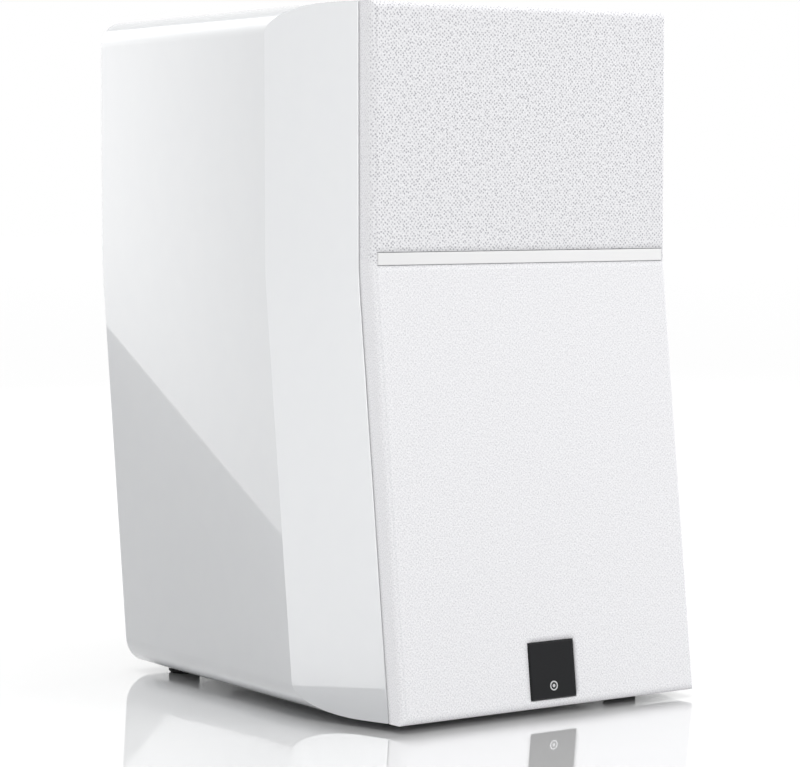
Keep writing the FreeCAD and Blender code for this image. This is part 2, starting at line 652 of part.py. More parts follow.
def grille_frame():
    """Moulded frame: a rim, a crossbar behind the trim bar, and pads for the badge and the magnets."""
    skin = CLOTH_THICKNESS + CLOTH_EASE
    half = FRONT_HALF - skin
    low = LOW + skin
    high = HEIGHT - skin
    body = grille_block(GRILLE_DEPTH - skin, half, low, high, GRILLE_RADIUS - skin, GRILLE_GAP)
    bar_middle = BAR_LOW + BAR_HEIGHT / 2
    reach = 2 * GRILLE_DEPTH + 60
    inner_half = half - FRAME_RIM
    upper = block(-inner_half, inner_half, -reach, reach, bar_middle + CROSSBAR_HEIGHT / 2, high - FRAME_RIM)
    lower = block(-inner_half, inner_half, -reach, reach, low + FRAME_RIM, bar_middle - CROSSBAR_HEIGHT / 2)
    windows = []
    for window in (upper, lower):
        across = [e for e in window.Edges if e.BoundBox.YLength > reach]
        windows.append(window.makeFillet(FRAME_CORNER, across))
    pads = magnet_places(disc(MAGNET_PAD, -reach, reach), 0)
    pad_half = BADGE_SIZE / 2 + BADGE_PAD
    pads.append(block(BADGE_OFFSET - pad_half, BADGE_OFFSET + pad_half, -reach, reach, low,
                      LOW + BADGE_LIFT + BADGE_SIZE + BADGE_PAD))
    openings = Part.Compound(windows).cut(Part.Compound(pads))
    body = body.cut(openings)
    body = body.cut(bar_outline(0.1, GRILLE_DEPTH + BAR_PROUD - BAR_THICKNESS - 0.1, GRILLE_DEPTH + 3))
    body = body.cut(badge_outline(0.1, BADGE_PROUD - BADGE_THICKNESS - 0.1, 3))
    pockets = magnet_places(disc(MAGNET_RADIUS + MAGNET_FIT, -5, MAGNET_THICKNESS + 0.1), GRILLE_GAP)
    return body.cut(Part.Compound(pockets))


def grille_trim_bar():
    """Gloss bar set in the grille at the bend."""
    bar = bar_outline(0, GRILLE_DEPTH + BAR_PROUD - BAR_THICKNESS, GRILLE_DEPTH + BAR_PROUD)
    front = [e for e in bar.Edges if e.BoundBox.YMax < -GRILLE_DEPTH - BAR_PROUD + 0.1]
    return bar.makeFillet(0.5, front)


def badge_plate():
    """Square badge with a bevelled front and a shallow round recess for its emblem."""
    badge = plate(BADGE_SIZE, BADGE_SIZE, BADGE_CORNER, BADGE_PROUD - BADGE_THICKNESS, BADGE_PROUD)
    front = [e for e in badge.Edges if e.BoundBox.ZMin > BADGE_PROUD - 0.01]
    badge = badge.makeChamfer(BADGE_BEVEL, front)
    for low_radius, high_radius in EMBLEM_RINGS:
        recess = ring(high_radius + 0.05, max(low_radius - 0.05, 0), BADGE_PROUD - EMBLEM_DEPTH, BADGE_PROUD + 1)
        badge = badge.cut(recess.translated(Vec(0, EMBLEM_DROP, 0)))
    return placed(badge, badge_place())


def badge_emblem():
    """Plain ring and dot, inlaid in the badge."""
    inlays = []
    for low_radius, high_radius in EMBLEM_RINGS:
        inlay = ring(high_radius, low_radius, BADGE_PROUD - EMBLEM_DEPTH, BADGE_PROUD + 0.1)
        inlays.append(placed(inlay.translated(Vec(0, EMBLEM_DROP, 0)), badge_place()))
    return group(inlays)


def grille_magnets():
    """Disc magnets in the back of the grille frame."""
    return group(magnet_places(disc(MAGNET_RADIUS, 0, MAGNET_THICKNESS), GRILLE_GAP))


def baffle_magnets():
    """Disc magnets let into the baffle, opposite the grille's."""
    return group(magnet_places(disc(MAGNET_RADIUS, -MAGNET_THICKNESS, 0), 0))


# ---------------------------------------------------------------- woofer

def cone_height(r):
    """Height of the cone's front surface at radius r."""
    rim = ROLL_CENTRE - ROLL_RADIUS - LIP_WIDTH
    neck = COIL_RADIUS + FORMER_WALL
    seat = -FLANGE_STEP
    return seat + (r - rim) / (rim - neck) * (CONE_NECK_DEPTH + seat)


def woofer_basket():
    """Cast frame: flange, skirt, windowed cone and a base that carries the magnet system."""
    skirt_inner = BASKET_RADIUS - BASKET_WALL
    ledge_inner = ROLL_CENTRE + ROLL_RADIUS + 0.2
    base_outer = SEAT_RADIUS + 4.0
    basket = turned([
        (FLANGE_RADIUS, 0), (FLANGE_RADIUS, -FLANGE_THICKNESS), (BASKET_RADIUS, -FLANGE_THICKNESS),
        (BASKET_RADIUS, -BASKET_SKIRT), (base_outer, -BASKET_DEPTH), (COIL_RADIUS + 8.0, -BASKET_DEPTH),
        (COIL_RADIUS + 8.0, -BASKET_DEPTH + 3.0), (SEAT_RADIUS - 3.0, -BASKET_DEPTH + 3.0),
        (SEAT_RADIUS - 3.0, -SEAT_DEPTH), (SEAT_RADIUS + 1.5, -SEAT_DEPTH), (skirt_inner, -BASKET_SKIRT),
        (skirt_inner, -FLANGE_THICKNESS - 2.0), (ledge_inner, -FLANGE_THICKNESS), (ledge_inner, -FLANGE_STEP),
        (FLANGE_LEDGE, -FLANGE_STEP), (FLANGE_LEDGE, 0)])
    window = Part.Face(Part.makePolygon([
        Vec(base_outer + 3, 0, -BASKET_DEPTH - 2), Vec(skirt_inner + 1, 0, -BASKET_DEPTH - 2),
        Vec(skirt_inner + 1, 0, -BASKET_SKIRT - 3), Vec(base_outer + 3, 0, -BASKET_SKIRT - 3),
        Vec(base_outer + 3, 0, -BASKET_DEPTH - 2)]))
    share = BASKET_OPEN_SHARE * 360.0 / BASKET_WINDOWS
    cutter = window.revolve(Vec(0, 0, 0), Vec(0, 0, 1), share)
    cuts = around(cutter, BASKET_WINDOWS, -share / 2) + woofer_screw_places(screw_hole(0))
    return basket.cut(Part.Compound(cuts))


def woofer_gasket():
    """Foam ring between the flange and the baffle."""
    gasket = ring(FLANGE_RADIUS - 0.5, BASKET_RADIUS + 0.6, -FLANGE_THICKNESS - GASKET_THICKNESS, -FLANGE_THICKNESS)
    return gasket.cut(Part.Compound(woofer_screw_places(screw_hole(0))))


def woofer_surround():
    """Rubber half-roll with flat lips on the flange's ledge and on the cone."""
    seat = -FLANGE_STEP
    top = seat + ROLL_THICKNESS
    small = ROLL_RADIUS - ROLL_THICKNESS
    reach = math.sqrt(ROLL_RADIUS ** 2 - ROLL_THICKNESS ** 2)
    inner_lip = ROLL_CENTRE - ROLL_RADIUS - LIP_WIDTH
    outer_lip = ROLL_CENTRE + ROLL_RADIUS + LIP_WIDTH
    centre = ROLL_CENTRE
    edges = [
        Part.makeLine(Vec(inner_lip, 0, seat), Vec(centre - small, 0, seat)),
        Part.Arc(Vec(centre - small, 0, seat), Vec(centre, 0, seat + small), Vec(centre + small, 0, seat)).toShape(),
        Part.makeLine(Vec(centre + small, 0, seat), Vec(outer_lip, 0, seat)),
        Part.makeLine(Vec(outer_lip, 0, seat), Vec(outer_lip, 0, top)),
        Part.makeLine(Vec(outer_lip, 0, top), Vec(centre + reach, 0, top)),
        Part.Arc(Vec(centre + reach, 0, top), Vec(centre, 0, seat + ROLL_RADIUS), Vec(centre - reach, 0, top)).toShape(),
        Part.makeLine(Vec(centre - reach, 0, top), Vec(inner_lip, 0, top)),
        Part.makeLine(Vec(inner_lip, 0, top), Vec(inner_lip, 0, seat))]
    return turned_wire(Part.Wire(edges))


def woofer_cone():
    """Thin cone with a flat rim under the surround's inner lip."""
    rim = ROLL_CENTRE - ROLL_RADIUS
    slope_start = rim - LIP_WIDTH
    neck = COIL_RADIUS + FORMER_WALL + 0.05
    seat = -FLANGE_STEP
    return turned([(neck, cone_height(neck)), (slope_start, seat), (rim, seat), (rim, seat - CONE_THICKNESS),
                   (slope_start, seat - CONE_THICKNESS), (neck, cone_height(neck) - CONE_THICKNESS)])


def woofer_dust_cap():
    """Shallow dome glued to the cone over the voice coil."""
    return dome(DUST_CAP_RADIUS, DUST_CAP_RISE, DUST_CAP_WALL, cone_height(DUST_CAP_RADIUS) + 0.05)


def coil_top():
    """Height of the former's upper end, at the cone's neck."""
    return cone_height(COIL_RADIUS + FORMER_WALL) - 0.2


def woofer_coil_former():
    """Thin tube that joins the cone, the spider and the winding."""
    return ring(COIL_RADIUS + FORMER_WALL, COIL_RADIUS, coil_top() - COIL_LENGTH, coil_top())


def woofer_coil_winding():
    """Copper winding on the former, centred in the magnetic gap."""
    middle = -BASKET_DEPTH - TOP_PLATE_THICKNESS / 2
    inner = COIL_RADIUS + FORMER_WALL + 0.02
    return ring(inner + WINDING_THICKNESS, inner, middle - WINDING_HEIGHT / 2, middle + WINDING_HEIGHT / 2)


def woofer_spider():
    """Corrugated suspension disc between the former and the basket's seat."""
    inner = COIL_RADIUS + FORMER_WALL + 0.1
    flat_in = inner + 2.5     # flat collar glued to the former
    flat_out = SEAT_RADIUS - 3.5
    rim = SEAT_RADIUS + 1.2
    low = -SEAT_DEPTH
    pitch = (flat_out - flat_in) / (2 * SPIDER_WAVES)
    crests = [(inner, low), (flat_in, low)]
    for i in range(2 * SPIDER_WAVES - 1):
        swing = SPIDER_WAVE_HEIGHT if i % 2 == 0 else -SPIDER_WAVE_HEIGHT
        crests.append((flat_in + pitch * (i + 1), low + swing))
    crests += [(flat_out, low), (rim, low)]
    upper = [(r, h + SPIDER_THICKNESS) for r, h in reversed(crests)]
    return turned(crests + upper)


def woofer_top_plate():
    """Steel ring that forms the outside of the gap."""
    inner = COIL_RADIUS + FORMER_WALL + WINDING_THICKNESS + COIL_GAP
    return ring(TOP_PLATE_RADIUS, inner, -BASKET_DEPTH - TOP_PLATE_THICKNESS, -BASKET_DEPTH)


def woofer_magnet():
    """Ferrite ring with eased edges."""
    high = -BASKET_DEPTH - TOP_PLATE_THICKNESS
    low = high - MAGNET_DEPTH
    ease = 1.2
    return turned([(MAGNET_INNER, low), (MAGNET_OUTER - ease, low), (MAGNET_OUTER, low + ease),
                   (MAGNET_OUTER, high - ease), (MAGNET_OUTER - ease, high), (MAGNET_INNER, high)])


def woofer_pole_plate():
    """Back plate and vented pole in one turned piece."""
    high = -BASKET_DEPTH - TOP_PLATE_THICKNESS - MAGNET_DEPTH
    low = high - BACK_PLATE_THICKNESS
    pole = COIL_RADIUS - COIL_GAP
    vent = 5.0
    return turned([(vent, low), (TOP_PLATE_RADIUS - 2, low), (TOP_PLATE_RADIUS, low + 2), (TOP_PLATE_RADIUS, high),
                   (pole, high), (pole, -BASKET_DEPTH - 1), (pole - 1, -BASKET_DEPTH), (vent, -BASKET_DEPTH)])


def woofer_shorting_ring():
    """Copper ring round the foot of the pole."""
    low = -BASKET_DEPTH - TOP_PLATE_THICKNESS - MAGNET_DEPTH
    return ring(MAGNET_INNER - 0.15, COIL_RADIUS - COIL_GAP + 0.1, low, low + SHORTING_HEIGHT)


def woofer_tag_board():
    """Insulating block on one rib of the basket, at the bottom."""
    body = block(-7, 7, -TAG_OUTER, -TAG_INNER, TAG_LOW, TAG_LOW + 10)
    lead_in = turned([(0, -BASKET_DEPTH - 0.02), (SEAT_RADIUS + 4.02, -BASKET_DEPTH - 0.02),
                      (BASKET_RADIUS + 0.02, -BASKET_SKIRT), (0, -BASKET_SKIRT)])
    board = body.cut(lead_in)
    for x in TAG_PLACES:
        board = board.cut(block(x - TAG_WIDTH / 2 - 0.05, x + TAG_WIDTH / 2 + 0.05, -TAG_OUTER - 1,
                                -TAG_OUTER + TAG_ROOT + 0.05, TAG_LEVEL - 0.05, TAG_LEVEL + TAG_THICKNESS + 0.05))
    return board


def woofer_tags():
    """Two solder tags in the tag board."""
    return group(block(x - TAG_WIDTH / 2, x + TAG_WIDTH / 2, -TAG_OUTER - TAG_REACH, -TAG_OUTER + TAG_ROOT,
                       TAG_LEVEL, TAG_LEVEL + TAG_THICKNESS) for x in TAG_PLACES)


# ---------------------------------------------------------------- tweeter

TWEETER_BACK = -PLATE_THICKNESS - 1.0            # back of the faceplate's middle
TWEETER_MOTOR = TWEETER_BACK - 0.55              # front of the top plate, behind the surround's lip


def tweeter_back():
    """Height of the back plate's rear face."""
    return TWEETER_MOTOR - TWEETER_TOP_PLATE - TWEETER_MAGNET - TWEETER_BACK_PLATE


def tweeter_faceplate():
    """Round plate with a shallow flare in front of the dome."""
    throat = DOME_RADIUS + 2 * DOME_ROLL + 0.7
    arc = Part.Arc(Vec(throat, 0, -HORN_DEPTH), Vec((throat + HORN_MOUTH) / 2, 0, -HORN_DEPTH * 0.36),
                   Vec(HORN_MOUTH, 0, 0)).toShape()
    corners = [(HORN_MOUTH, 0), (PLATE_RADIUS - 0.8, 0), (PLATE_RADIUS, -0.8), (PLATE_RADIUS, -PLATE_THICKNESS),
               (TWEETER_PLATE_RADIUS, -PLATE_THICKNESS), (TWEETER_PLATE_RADIUS, TWEETER_BACK),
               (throat, TWEETER_BACK), (throat, -HORN_DEPTH)]
    points = [Vec(r, 0, h) for r, h in corners]
    edges = [Part.makeLine(a, b) for a, b in zip(points, points[1:])] + [arc]
    plate_body = turned_wire(Part.Wire(Part.__sortEdges__(edges)))
    return plate_body.cut(Part.Compound(tweeter_screw_places(screw_hole(0))))


def tweeter_dome():
    """Coated silk dome on the voice coil."""
    return dome(DOME_RADIUS, DOME_RISE, DOME_THICKNESS, TWEETER_BACK - 0.2)


def tweeter_coil():
    """Former and winding of the dome, in the gap."""
    top = TWEETER_BACK - 0.2
    middle = TWEETER_MOTOR - TWEETER_TOP_PLATE / 2
    low = middle - TWEETER_COIL_HEIGHT / 2
    high = middle + TWEETER_COIL_HEIGHT / 2
    inner = DOME_RADIUS - 0.3
    return turned([(inner, low), (DOME_RADIUS + TWEETER_COIL_WALL, low), (DOME_RADIUS + TWEETER_COIL_WALL, high),
                   (DOME_RADIUS, high), (DOME_RADIUS, top), (inner, top)])


def tweeter_surround():
    """Half-roll round the dome, with a lip clamped behind the faceplate."""
    low = TWEETER_MOTOR + 0.05
    inner = DOME_RADIUS + TWEETER_COIL_WALL + 0.15
    outer = inner + 2 * DOME_ROLL
    wall = 0.3
    middle = (inner + outer) / 2
    small = DOME_ROLL - wall
    edges = [
        Part.Arc(Vec(inner, 0, low), Vec(middle, 0, low + DOME_ROLL), Vec(outer, 0, low)).toShape(),
        Part.Arc(Vec(outer - wall, 0, low), Vec(middle, 0, low + small), Vec(inner + wall, 0, low)).toShape(),
        Part.makeLine(Vec(inner, 0, low), Vec(inner + wall, 0, low)),
        Part.makeLine(Vec(outer, 0, low), Vec(outer - wall, 0, low))]
    roll = turned_wire(Part.Wire(Part.__sortEdges__(edges)))
    return roll.fuse(ring(outer + 4.0, outer - wall, low, low + wall))


def tweeter_top_plate():
    """Front pole ring of the tweeter's motor."""
    inner = DOME_RADIUS + TWEETER_COIL_WALL + TWEETER_COIL_GAP
    return ring(TWEETER_PLATE_RADIUS, inner, TWEETER_MOTOR - TWEETER_TOP_PLATE, TWEETER_MOTOR)


def tweeter_magnet():
    """Ring magnet of the tweeter."""
    high = TWEETER_MOTOR - TWEETER_TOP_PLATE
    return ring(TWEETER_PLATE_RADIUS - 0.5, DOME_RADIUS + 5.0, high - TWEETER_MAGNET, high)


def tweeter_pole_plate():
    """Back plate and vented pole of the tweeter."""
    high = TWEETER_MOTOR - TWEETER_TOP_PLATE - TWEETER_MAGNET
    low = high - TWEETER_BACK_PLATE
    pole = DOME_RADIUS - 0.3 - TWEETER_COIL_GAP
    vent = 4.0
    return turned([(vent, low), (TWEETER_PLATE_RADIUS, low), (TWEETER_PLATE_RADIUS, high), (pole, high),
                   (pole, TWEETER_MOTOR - 0.3), (vent, TWEETER_MOTOR - 0.3)])


def tweeter_chamber():
    """Damped rear cup behind the tweeter's motor."""
    high = tweeter_back()
    wall = 2.0
    low = high - CHAMBER_DEPTH
    return turned([(0, low), (CHAMBER_RADIUS - 3, low), (CHAMBER_RADIUS, low + 3), (CHAMBER_RADIUS, high),
                   (CHAMBER_RADIUS - wall, high), (CHAMBER_RADIUS - wall, low + wall + 2),
                   (CHAMBER_RADIUS - wall - 2, low + wall), (0, low + wall)])


def tweeter_tags():
    """Two solder tags on the tweeter's back plate, below the chamber."""
    high = tweeter_back()
    y = -(CHAMBER_RADIUS + TWEETER_PLATE_RADIUS) / 2
    return group(block(x - 1.4, x + 1.4, y - 0.5, y + 0.5, high - TWEETER_TAG_REACH, high) for x in TAG_PLACES)


# ---------------------------------------------------------------- bass port

def port_flange():
    """Flared outlet set flush in the rear panel, with a spigot for the tube."""
    mouth = PORT_RADIUS + PORT_FLARE
    spigot = PORT_RADIUS + PORT_WALL
    end = -PORT_FLARE - PORT_SPIGOT
    flare = Part.Arc(Vec(PORT_RADIUS, 0, -PORT_FLARE),
                     Vec(mouth - PORT_FLARE * math.cos(math.pi / 4), 0, -PORT_FLARE * (1 - math.sin(math.pi / 4))),
                     Vec(mouth, 0, 0)).toShape()
    corners = [(mouth, 0), (PORT_FLANGE_RADIUS - 0.8, 0), (PORT_FLANGE_RADIUS, -0.8),
               (PORT_FLANGE_RADIUS, -PORT_FLANGE_THICKNESS), (mouth + 3, -PORT_FLANGE_THICKNESS),
               (spigot + 2, -PORT_FLARE), (spigot, -PORT_FLARE - 1.5), (spigot, end), (PORT_RADIUS, end),
               (PORT_RADIUS, -PORT_FLARE)]
    points = [Vec(r, 0, h) for r, h in corners]
    edges = [Part.makeLine(a, b) for a, b in zip(points, points[1:])] + [flare]
    flange = turned_wire(Part.Wire(Part.__sortEdges__(edges)))
    return flange.cut(Part.Compound(port_screw_places(screw_hole(0))))


def port_tube():
    """Tube that sockets over the flange's spigot and flares at its inner end."""
    socket = PORT_RADIUS + PORT_WALL + 0.1
    outer = socket + PORT_WALL
    start = -PORT_FLARE - 2.0
    shoulder = -PORT_FLARE - PORT_SPIGOT - 0.2
    spread = 5.0
    return turned([
        (socket, start), (socket, shoulder), (PORT_RADIUS, shoulder), (PORT_RADIUS, -PORT_LENGTH + spread),
        (PORT_RADIUS + 1.5, -PORT_LENGTH + spread * 0.35), (PORT_RADIUS + spread, -PORT_LENGTH),
        (PORT_RADIUS + spread + PORT_WALL, -PORT_LENGTH + 0.6), (PORT_RADIUS + 1.5 + PORT_WALL, -PORT_LENGTH + spread),
        (PORT_RADIUS + PORT_WALL, -PORT_LENGTH + 2 * spread), (PORT_RADIUS + PORT_WALL, shoulder - 4),
        (outer, shoulder - 1), (outer, start)])


# ---------------------------------------------------------------- terminals

CUP_FLOOR = -CUP_RECESS + CUP_WALL               # inside of the cup's floor
COLLAR_TOP = CUP_FLOOR + POST_COLLAR
WASHER_SEAT = COLLAR_TOP + 0.1
KNOB_SEAT = WASHER_SEAT + WASHER_THICKNESS + 0.1
POST_END = CUP_FLOOR + POST_LENGTH
POST_X = {"red": -POST_SPACING / 2, "black": POST_SPACING / 2}


def terminal_cup():
    """Moulded recess with a flange, set flush in the rear panel."""
    inner_width = CUP_WIDTH - 2 * CUP_RIM
    inner_tall = CUP_TALL - 2 * CUP_RIM
    cup = plate(CUP_WIDTH, CUP_TALL, CUP_CORNER, -CUP_FLANGE, 0)
    cup = cup.fuse(plate(inner_width + 2 * CUP_WALL, inner_tall + 2 * CUP_WALL, CUP_CORNER / 2 + CUP_WALL,
                         -CUP_RECESS, -CUP_FLANGE + 1))
    cup = cup.cut(plate(inner_width, inner_tall, CUP_CORNER / 2, CUP_FLOOR, 5))
    cuts = cup_screw_places(screw_hole(0))
    cuts += [disc(POST_STEM_RADIUS + 0.1, -CUP_RECESS - 2, CUP_FLOOR + 1, x) for x in POST_X.values()]
    return cup.cut(Part.Compound(cuts)).removeSplitter()


def terminal_gasket():
    """Foam gasket between the cup's flange and the rear panel."""
    inner_width = CUP_WIDTH - 2 * CUP_RIM + 2 * CUP_WALL + 2 * FRAME_FIT
    inner_tall = CUP_TALL - 2 * CUP_RIM + 2 * CUP_WALL + 2 * FRAME_FIT
    gasket = plate(CUP_WIDTH - 1, CUP_TALL - 1, CUP_CORNER - 0.5, -CUP_FLANGE - CUP_GASKET, -CUP_FLANGE)
    gasket = gasket.cut(plate(inner_width, inner_tall, CUP_CORNER / 2 + CUP_WALL, -2 * CUP_RECESS, 1))
    return gasket.cut(Part.Compound(cup_screw_places(screw_hole(0))))


def post_stem(x):
    """Fixed part of a binding post: threaded stem, collar, banana socket and wire hole."""
    stem = disc(POST_STEM_RADIUS, -CUP_RECESS - THREAD_LENGTH, POST_END)
    stem = stem.fuse(disc(POST_COLLAR_RADIUS, CUP_FLOOR, COLLAR_TOP))
    stem = stem.cut(disc(POST_BORE, POST_END - POST_BORE_LENGTH, POST_END + 1))
    wire_hole = Part.makeCylinder(WIRE_HOLE_RADIUS, 4 * POST_STEM_RADIUS, Vec(-2 * POST_STEM_RADIUS, 0, COLLAR_TOP + 1.6),
                                  Vec(1, 0, 0))
    return stem.cut(wire_hole).translated(Vec(x, 0, 0))


def binding_post_stems():
    """Stems of both posts."""
    return group(post_stem(x) for x in POST_X.values())


def post_washer(x):
    """Captive clamping washer, which slides with its knob and does not turn."""
    washer = ring(WASHER_RADIUS, POST_STEM_RADIUS + POST_FIT, WASHER_SEAT, WASHER_SEAT + WASHER_THICKNESS)
    return washer.translated(Vec(x, 0, 0))


def post_knob(x):
    """Fluted screw knob, open at its end for the plug."""
    high = KNOB_SEAT + KNOB_LENGTH
    bore = POST_STEM_RADIUS + POST_FIT
    knob = turned([(bore, KNOB_SEAT), (KNOB_RADIUS - 0.6, KNOB_SEAT), (KNOB_RADIUS, KNOB_SEAT + 0.6),
                   (KNOB_RADIUS, high - 1.2), (KNOB_RADIUS - 1.2, high), (bore, high)])
    flute = Part.makeCylinder(0.8, KNOB_LENGTH * 0.62, Vec(KNOB_RADIUS + 0.25, 0, KNOB_SEAT + KNOB_LENGTH * 0.2))
    return knob.cut(Part.Compound(around(flute, KNOB_FLUTES))).translated(Vec(x, 0, 0))


def hexagon(across, low, high, hole):
    """Hexagonal nut about local Z."""
    radius = across / math.sqrt(3)
    corners = [Vec(radius * math.cos(math.pi * i / 3), radius * math.sin(math.pi * i / 3), low) for i in range(6)]
    body = Part.Face(Part.makePolygon(corners + corners[:1])).extrude(Vec(0, 0, high - low))
    return body.cut(disc(hole, low - 1, high + 1))


def terminal_nuts():
    """Nuts that hold the stems in the cup."""
    nut = hexagon(NUT_ACROSS, -CUP_RECESS - NUT_THICKNESS, -CUP_RECESS, POST_STEM_RADIUS + 0.05)
    return group(nut.translated(Vec(x, 0, 0)) for x in POST_X.values())


def terminal_lugs():
    """Solder lugs under second nuts at the stems' inner ends."""
    high = -CUP_RECESS - NUT_THICKNESS
    lug = ring(LUG_RADIUS, POST_STEM_RADIUS + 0.05, high - LUG_THICKNESS, high)
    lug = lug.fuse(block(-LUG_WIDTH / 2, LUG_WIDTH / 2, -LUG_REACH, -4.2, high - LUG_THICKNESS, high)).removeSplitter()
    return group(lug.translated(Vec(x, 0, 0)) for x in POST_X.values())


# ---------------------------------------------------------------- crossover

def board_centre():
    """Plan position of the crossover board's middle."""
    rear = CABINET_DEPTH - REAR_PANEL_THICKNESS + lean(LOW + WALL) - BOARD_BACK_GAP
    return Vec(0, rear - BOARD_DEPTH / 2, 0)


BOARD_LOW = LOW + WALL + STANDOFF
BOARD_TOP = BOARD_LOW + BOARD_THICKNESS


def crossover_screw_places(shape):
    """Copies of a shape at the crossover board's corners."""
    return [s.translated(board_centre()) for s in at_corners(shape, BOARD_WIDTH / 2 - 6, BOARD_DEPTH / 2 - 6)]


def crossover_board():
    """Circuit board on the cabinet's bottom."""
    board = plate(BOARD_WIDTH, BOARD_DEPTH, 3.0, BOARD_LOW, BOARD_TOP).translated(board_centre())
    return board.cut(Part.Compound(crossover_screw_places(disc(BOARD_SCREW_RADIUS + 0.2, 0, BOARD_TOP + 1))))


def crossover_standoffs():
    """Tubes that lift the board off the cabinet's bottom."""
    return group(crossover_screw_places(ring(3.5, BOARD_SCREW_RADIUS + 0.2, LOW + WALL, BOARD_LOW)))


def crossover_screws():
    """Screws through the board and its standoffs."""
    shank = disc(BOARD_SCREW_RADIUS, LOW + WALL - BOARD_SCREW_BITE, BOARD_TOP)
    return group(crossover_screw_places(shank.fuse(disc(3.0, BOARD_TOP, BOARD_TOP + 1.8))))


def inductor_places(makers):
    """Places shapes made by a (radius, height) function at the two inductors."""
    centre = board_centre()
    return [makers(radius, height).translated(centre + Vec(x, y, 0)) for x, y, radius, height in INDUCTORS]


def inductor_bobbins():
    """Plastic bobbins, standing on the board."""
    def bobbin(radius, height):
        top = BOARD_TOP + height
        core = radius * 0.45
        hub = radius * 0.3
        cheek = 1.5
        return turned([(hub, BOARD_TOP), (radius, BOARD_TOP), (radius, BOARD_TOP + cheek), (core, BOARD_TOP + cheek),
                       (core, top - cheek), (radius, top - cheek), (radius, top), (hub, top)])
    return group(inductor_places(bobbin))


def inductor_windings():
    """Air-cored copper windings on the bobbins."""
    def winding(radius, height):
        return ring(radius - 1.5, radius * 0.45 + 0.05, BOARD_TOP + 1.6, BOARD_TOP + height - 1.6)
    return group(inductor_places(winding))


def crossover_capacitors():
    """Film capacitors, lying along the board."""
    centre = board_centre()
    parts = []
    for x, y, radius, length in CAPACITORS:
        body = Part.makeCylinder(radius, length, Vec(-length / 2, 0, BOARD_TOP + radius), Vec(1, 0, 0))
        body = body.makeFillet(1.0, [e for e in body.Edges if e.Closed])
        parts.append(body.translated(centre + Vec(x, y, 0)))
    return group(parts)


def crossover_resistors():
    """Cement resistors."""
    centre = board_centre()
    body = block(-RESISTOR_LENGTH / 2, RESISTOR_LENGTH / 2, -RESISTOR_SIDE / 2, RESISTOR_SIDE / 2,
                 BOARD_TOP, BOARD_TOP + RESISTOR_SIDE)
    return group(body.translated(centre + Vec(x, y, 0)) for x, y in RESISTORS)


def crossover_terminals():
    """Screw terminal blocks for the input and the two drivers."""
    centre = board_centre()
    return group(block(-half, half, -BLOCK_DEPTH / 2, BLOCK_DEPTH / 2, BOARD_TOP, BOARD_TOP + BLOCK_HEIGHT)
                 .translated(centre + Vec(x, y, 0)) for x, y, half in TERMINAL_BLOCKS)


# ---------------------------------------------------------------- internal leads

def lead(points):
    """Round lead along straight runs joined by tangent arcs; each arc is as large as its runs allow."""
    edges = []
    start = points[0]
    for before, corner, after in zip(points, points[1:], points[2:]):
        run_in = corner - before
        run_out = after - corner
        turn = run_in.getAngle(run_out)
        tangent = 0.45 * min(run_in.Length, run_out.Length)
        radius = tangent / math.tan(turn / 2)
        into = Vec(run_in).normalize()
        out = Vec(run_out).normalize()
        arc_start = corner - into * tangent
        arc_end = corner + out * tangent
        bisector = (out - into).normalize()
        middle = corner + bisector * (radius / math.cos(turn / 2) - radius)
        edges.append(Part.makeLine(start, arc_start))
        edges.append(Part.Arc(arc_start, middle, arc_end).toShape())
        start = arc_end
        print("lead arc radius", round(radius, 1))
    edges.append(Part.makeLine(start, points[-1]))
    path = Part.Wire(edges)
    section = Part.Wire(Part.makeCircle(LEAD_RADIUS, points[0], points[1] - points[0]))
    return path.makePipeShell([section], True, True)


def lead_pair(start, route, end, spread):
    """Two leads side by side, spread apart across the cabinet."""
    points = [start] + route + [end]
    return group(lead([p + Vec(x, 0, 0) for p in points]) for x in spread)


def block_front(index):
    """Middle of a terminal block's front face, where its leads go in."""
    x, y, _ = TERMINAL_BLOCKS[index]
    return board_centre() + Vec(x, y - BLOCK_DEPTH / 2, BOARD_TOP + BLOCK_HEIGHT / 2)


def woofer_leads():
    """Leads from the crossover to the woofer's tags."""
    tag_end = front_place(WOOFER_HEIGHT).multVec(Vec(0, -TAG_OUTER - TAG_REACH, TAG_LEVEL + TAG_THICKNESS / 2))
    return lead_pair(tag_end, [Vec(*p) for p in WOOFER_LEAD], block_front(0), TAG_PLACES)


def tweeter_leads():
    """Leads from the crossover, through the brace's window, to the tweeter's tags."""
    tag_end = front_place(TWEETER_HEIGHT).multVec(
        Vec(0, -(CHAMBER_RADIUS + TWEETER_PLATE_RADIUS) / 2, tweeter_back() - TWEETER_TAG_REACH))
    route = [tag_end + Vec(*p) for p in TWEETER_LEAD_OUT] + [Vec(*p) for p in TWEETER_LEAD]
    return lead_pair(tag_end, route, block_front(1), TAG_PLACES)


def input_leads():
    """Leads from the terminal lugs down to the crossover."""
    level = -CUP_RECESS - NUT_THICKNESS - LUG_THICKNESS / 2
    lug_end, run_end = (rear_place(CUP_HEIGHT).multVec(Vec(0, -reach, level))
                        for reach in (LUG_REACH, LUG_REACH + INPUT_LEAD_RUN))
    x, y, _ = TERMINAL_BLOCKS[2]
    block_top = board_centre() + Vec(x, y, BOARD_TOP + BLOCK_HEIGHT)
    route = [run_end] + [block_top + Vec(*p) for p in INPUT_LEAD_IN]
    return lead_pair(lug_end, route, block_top, POST_X.values())


# ---------------------------------------------------------------- screws in the cabinet's two boards

def driver_screws():
    """Screws that hold both drivers to the baffle."""
    woofer = [placed(s, front_place(WOOFER_HEIGHT)) for s in woofer_screw_places(screw(0))]
    tweeter = [placed(s, front_place(TWEETER_HEIGHT)) for s in tweeter_screw_places(screw(0))]
    return group(woofer + tweeter)


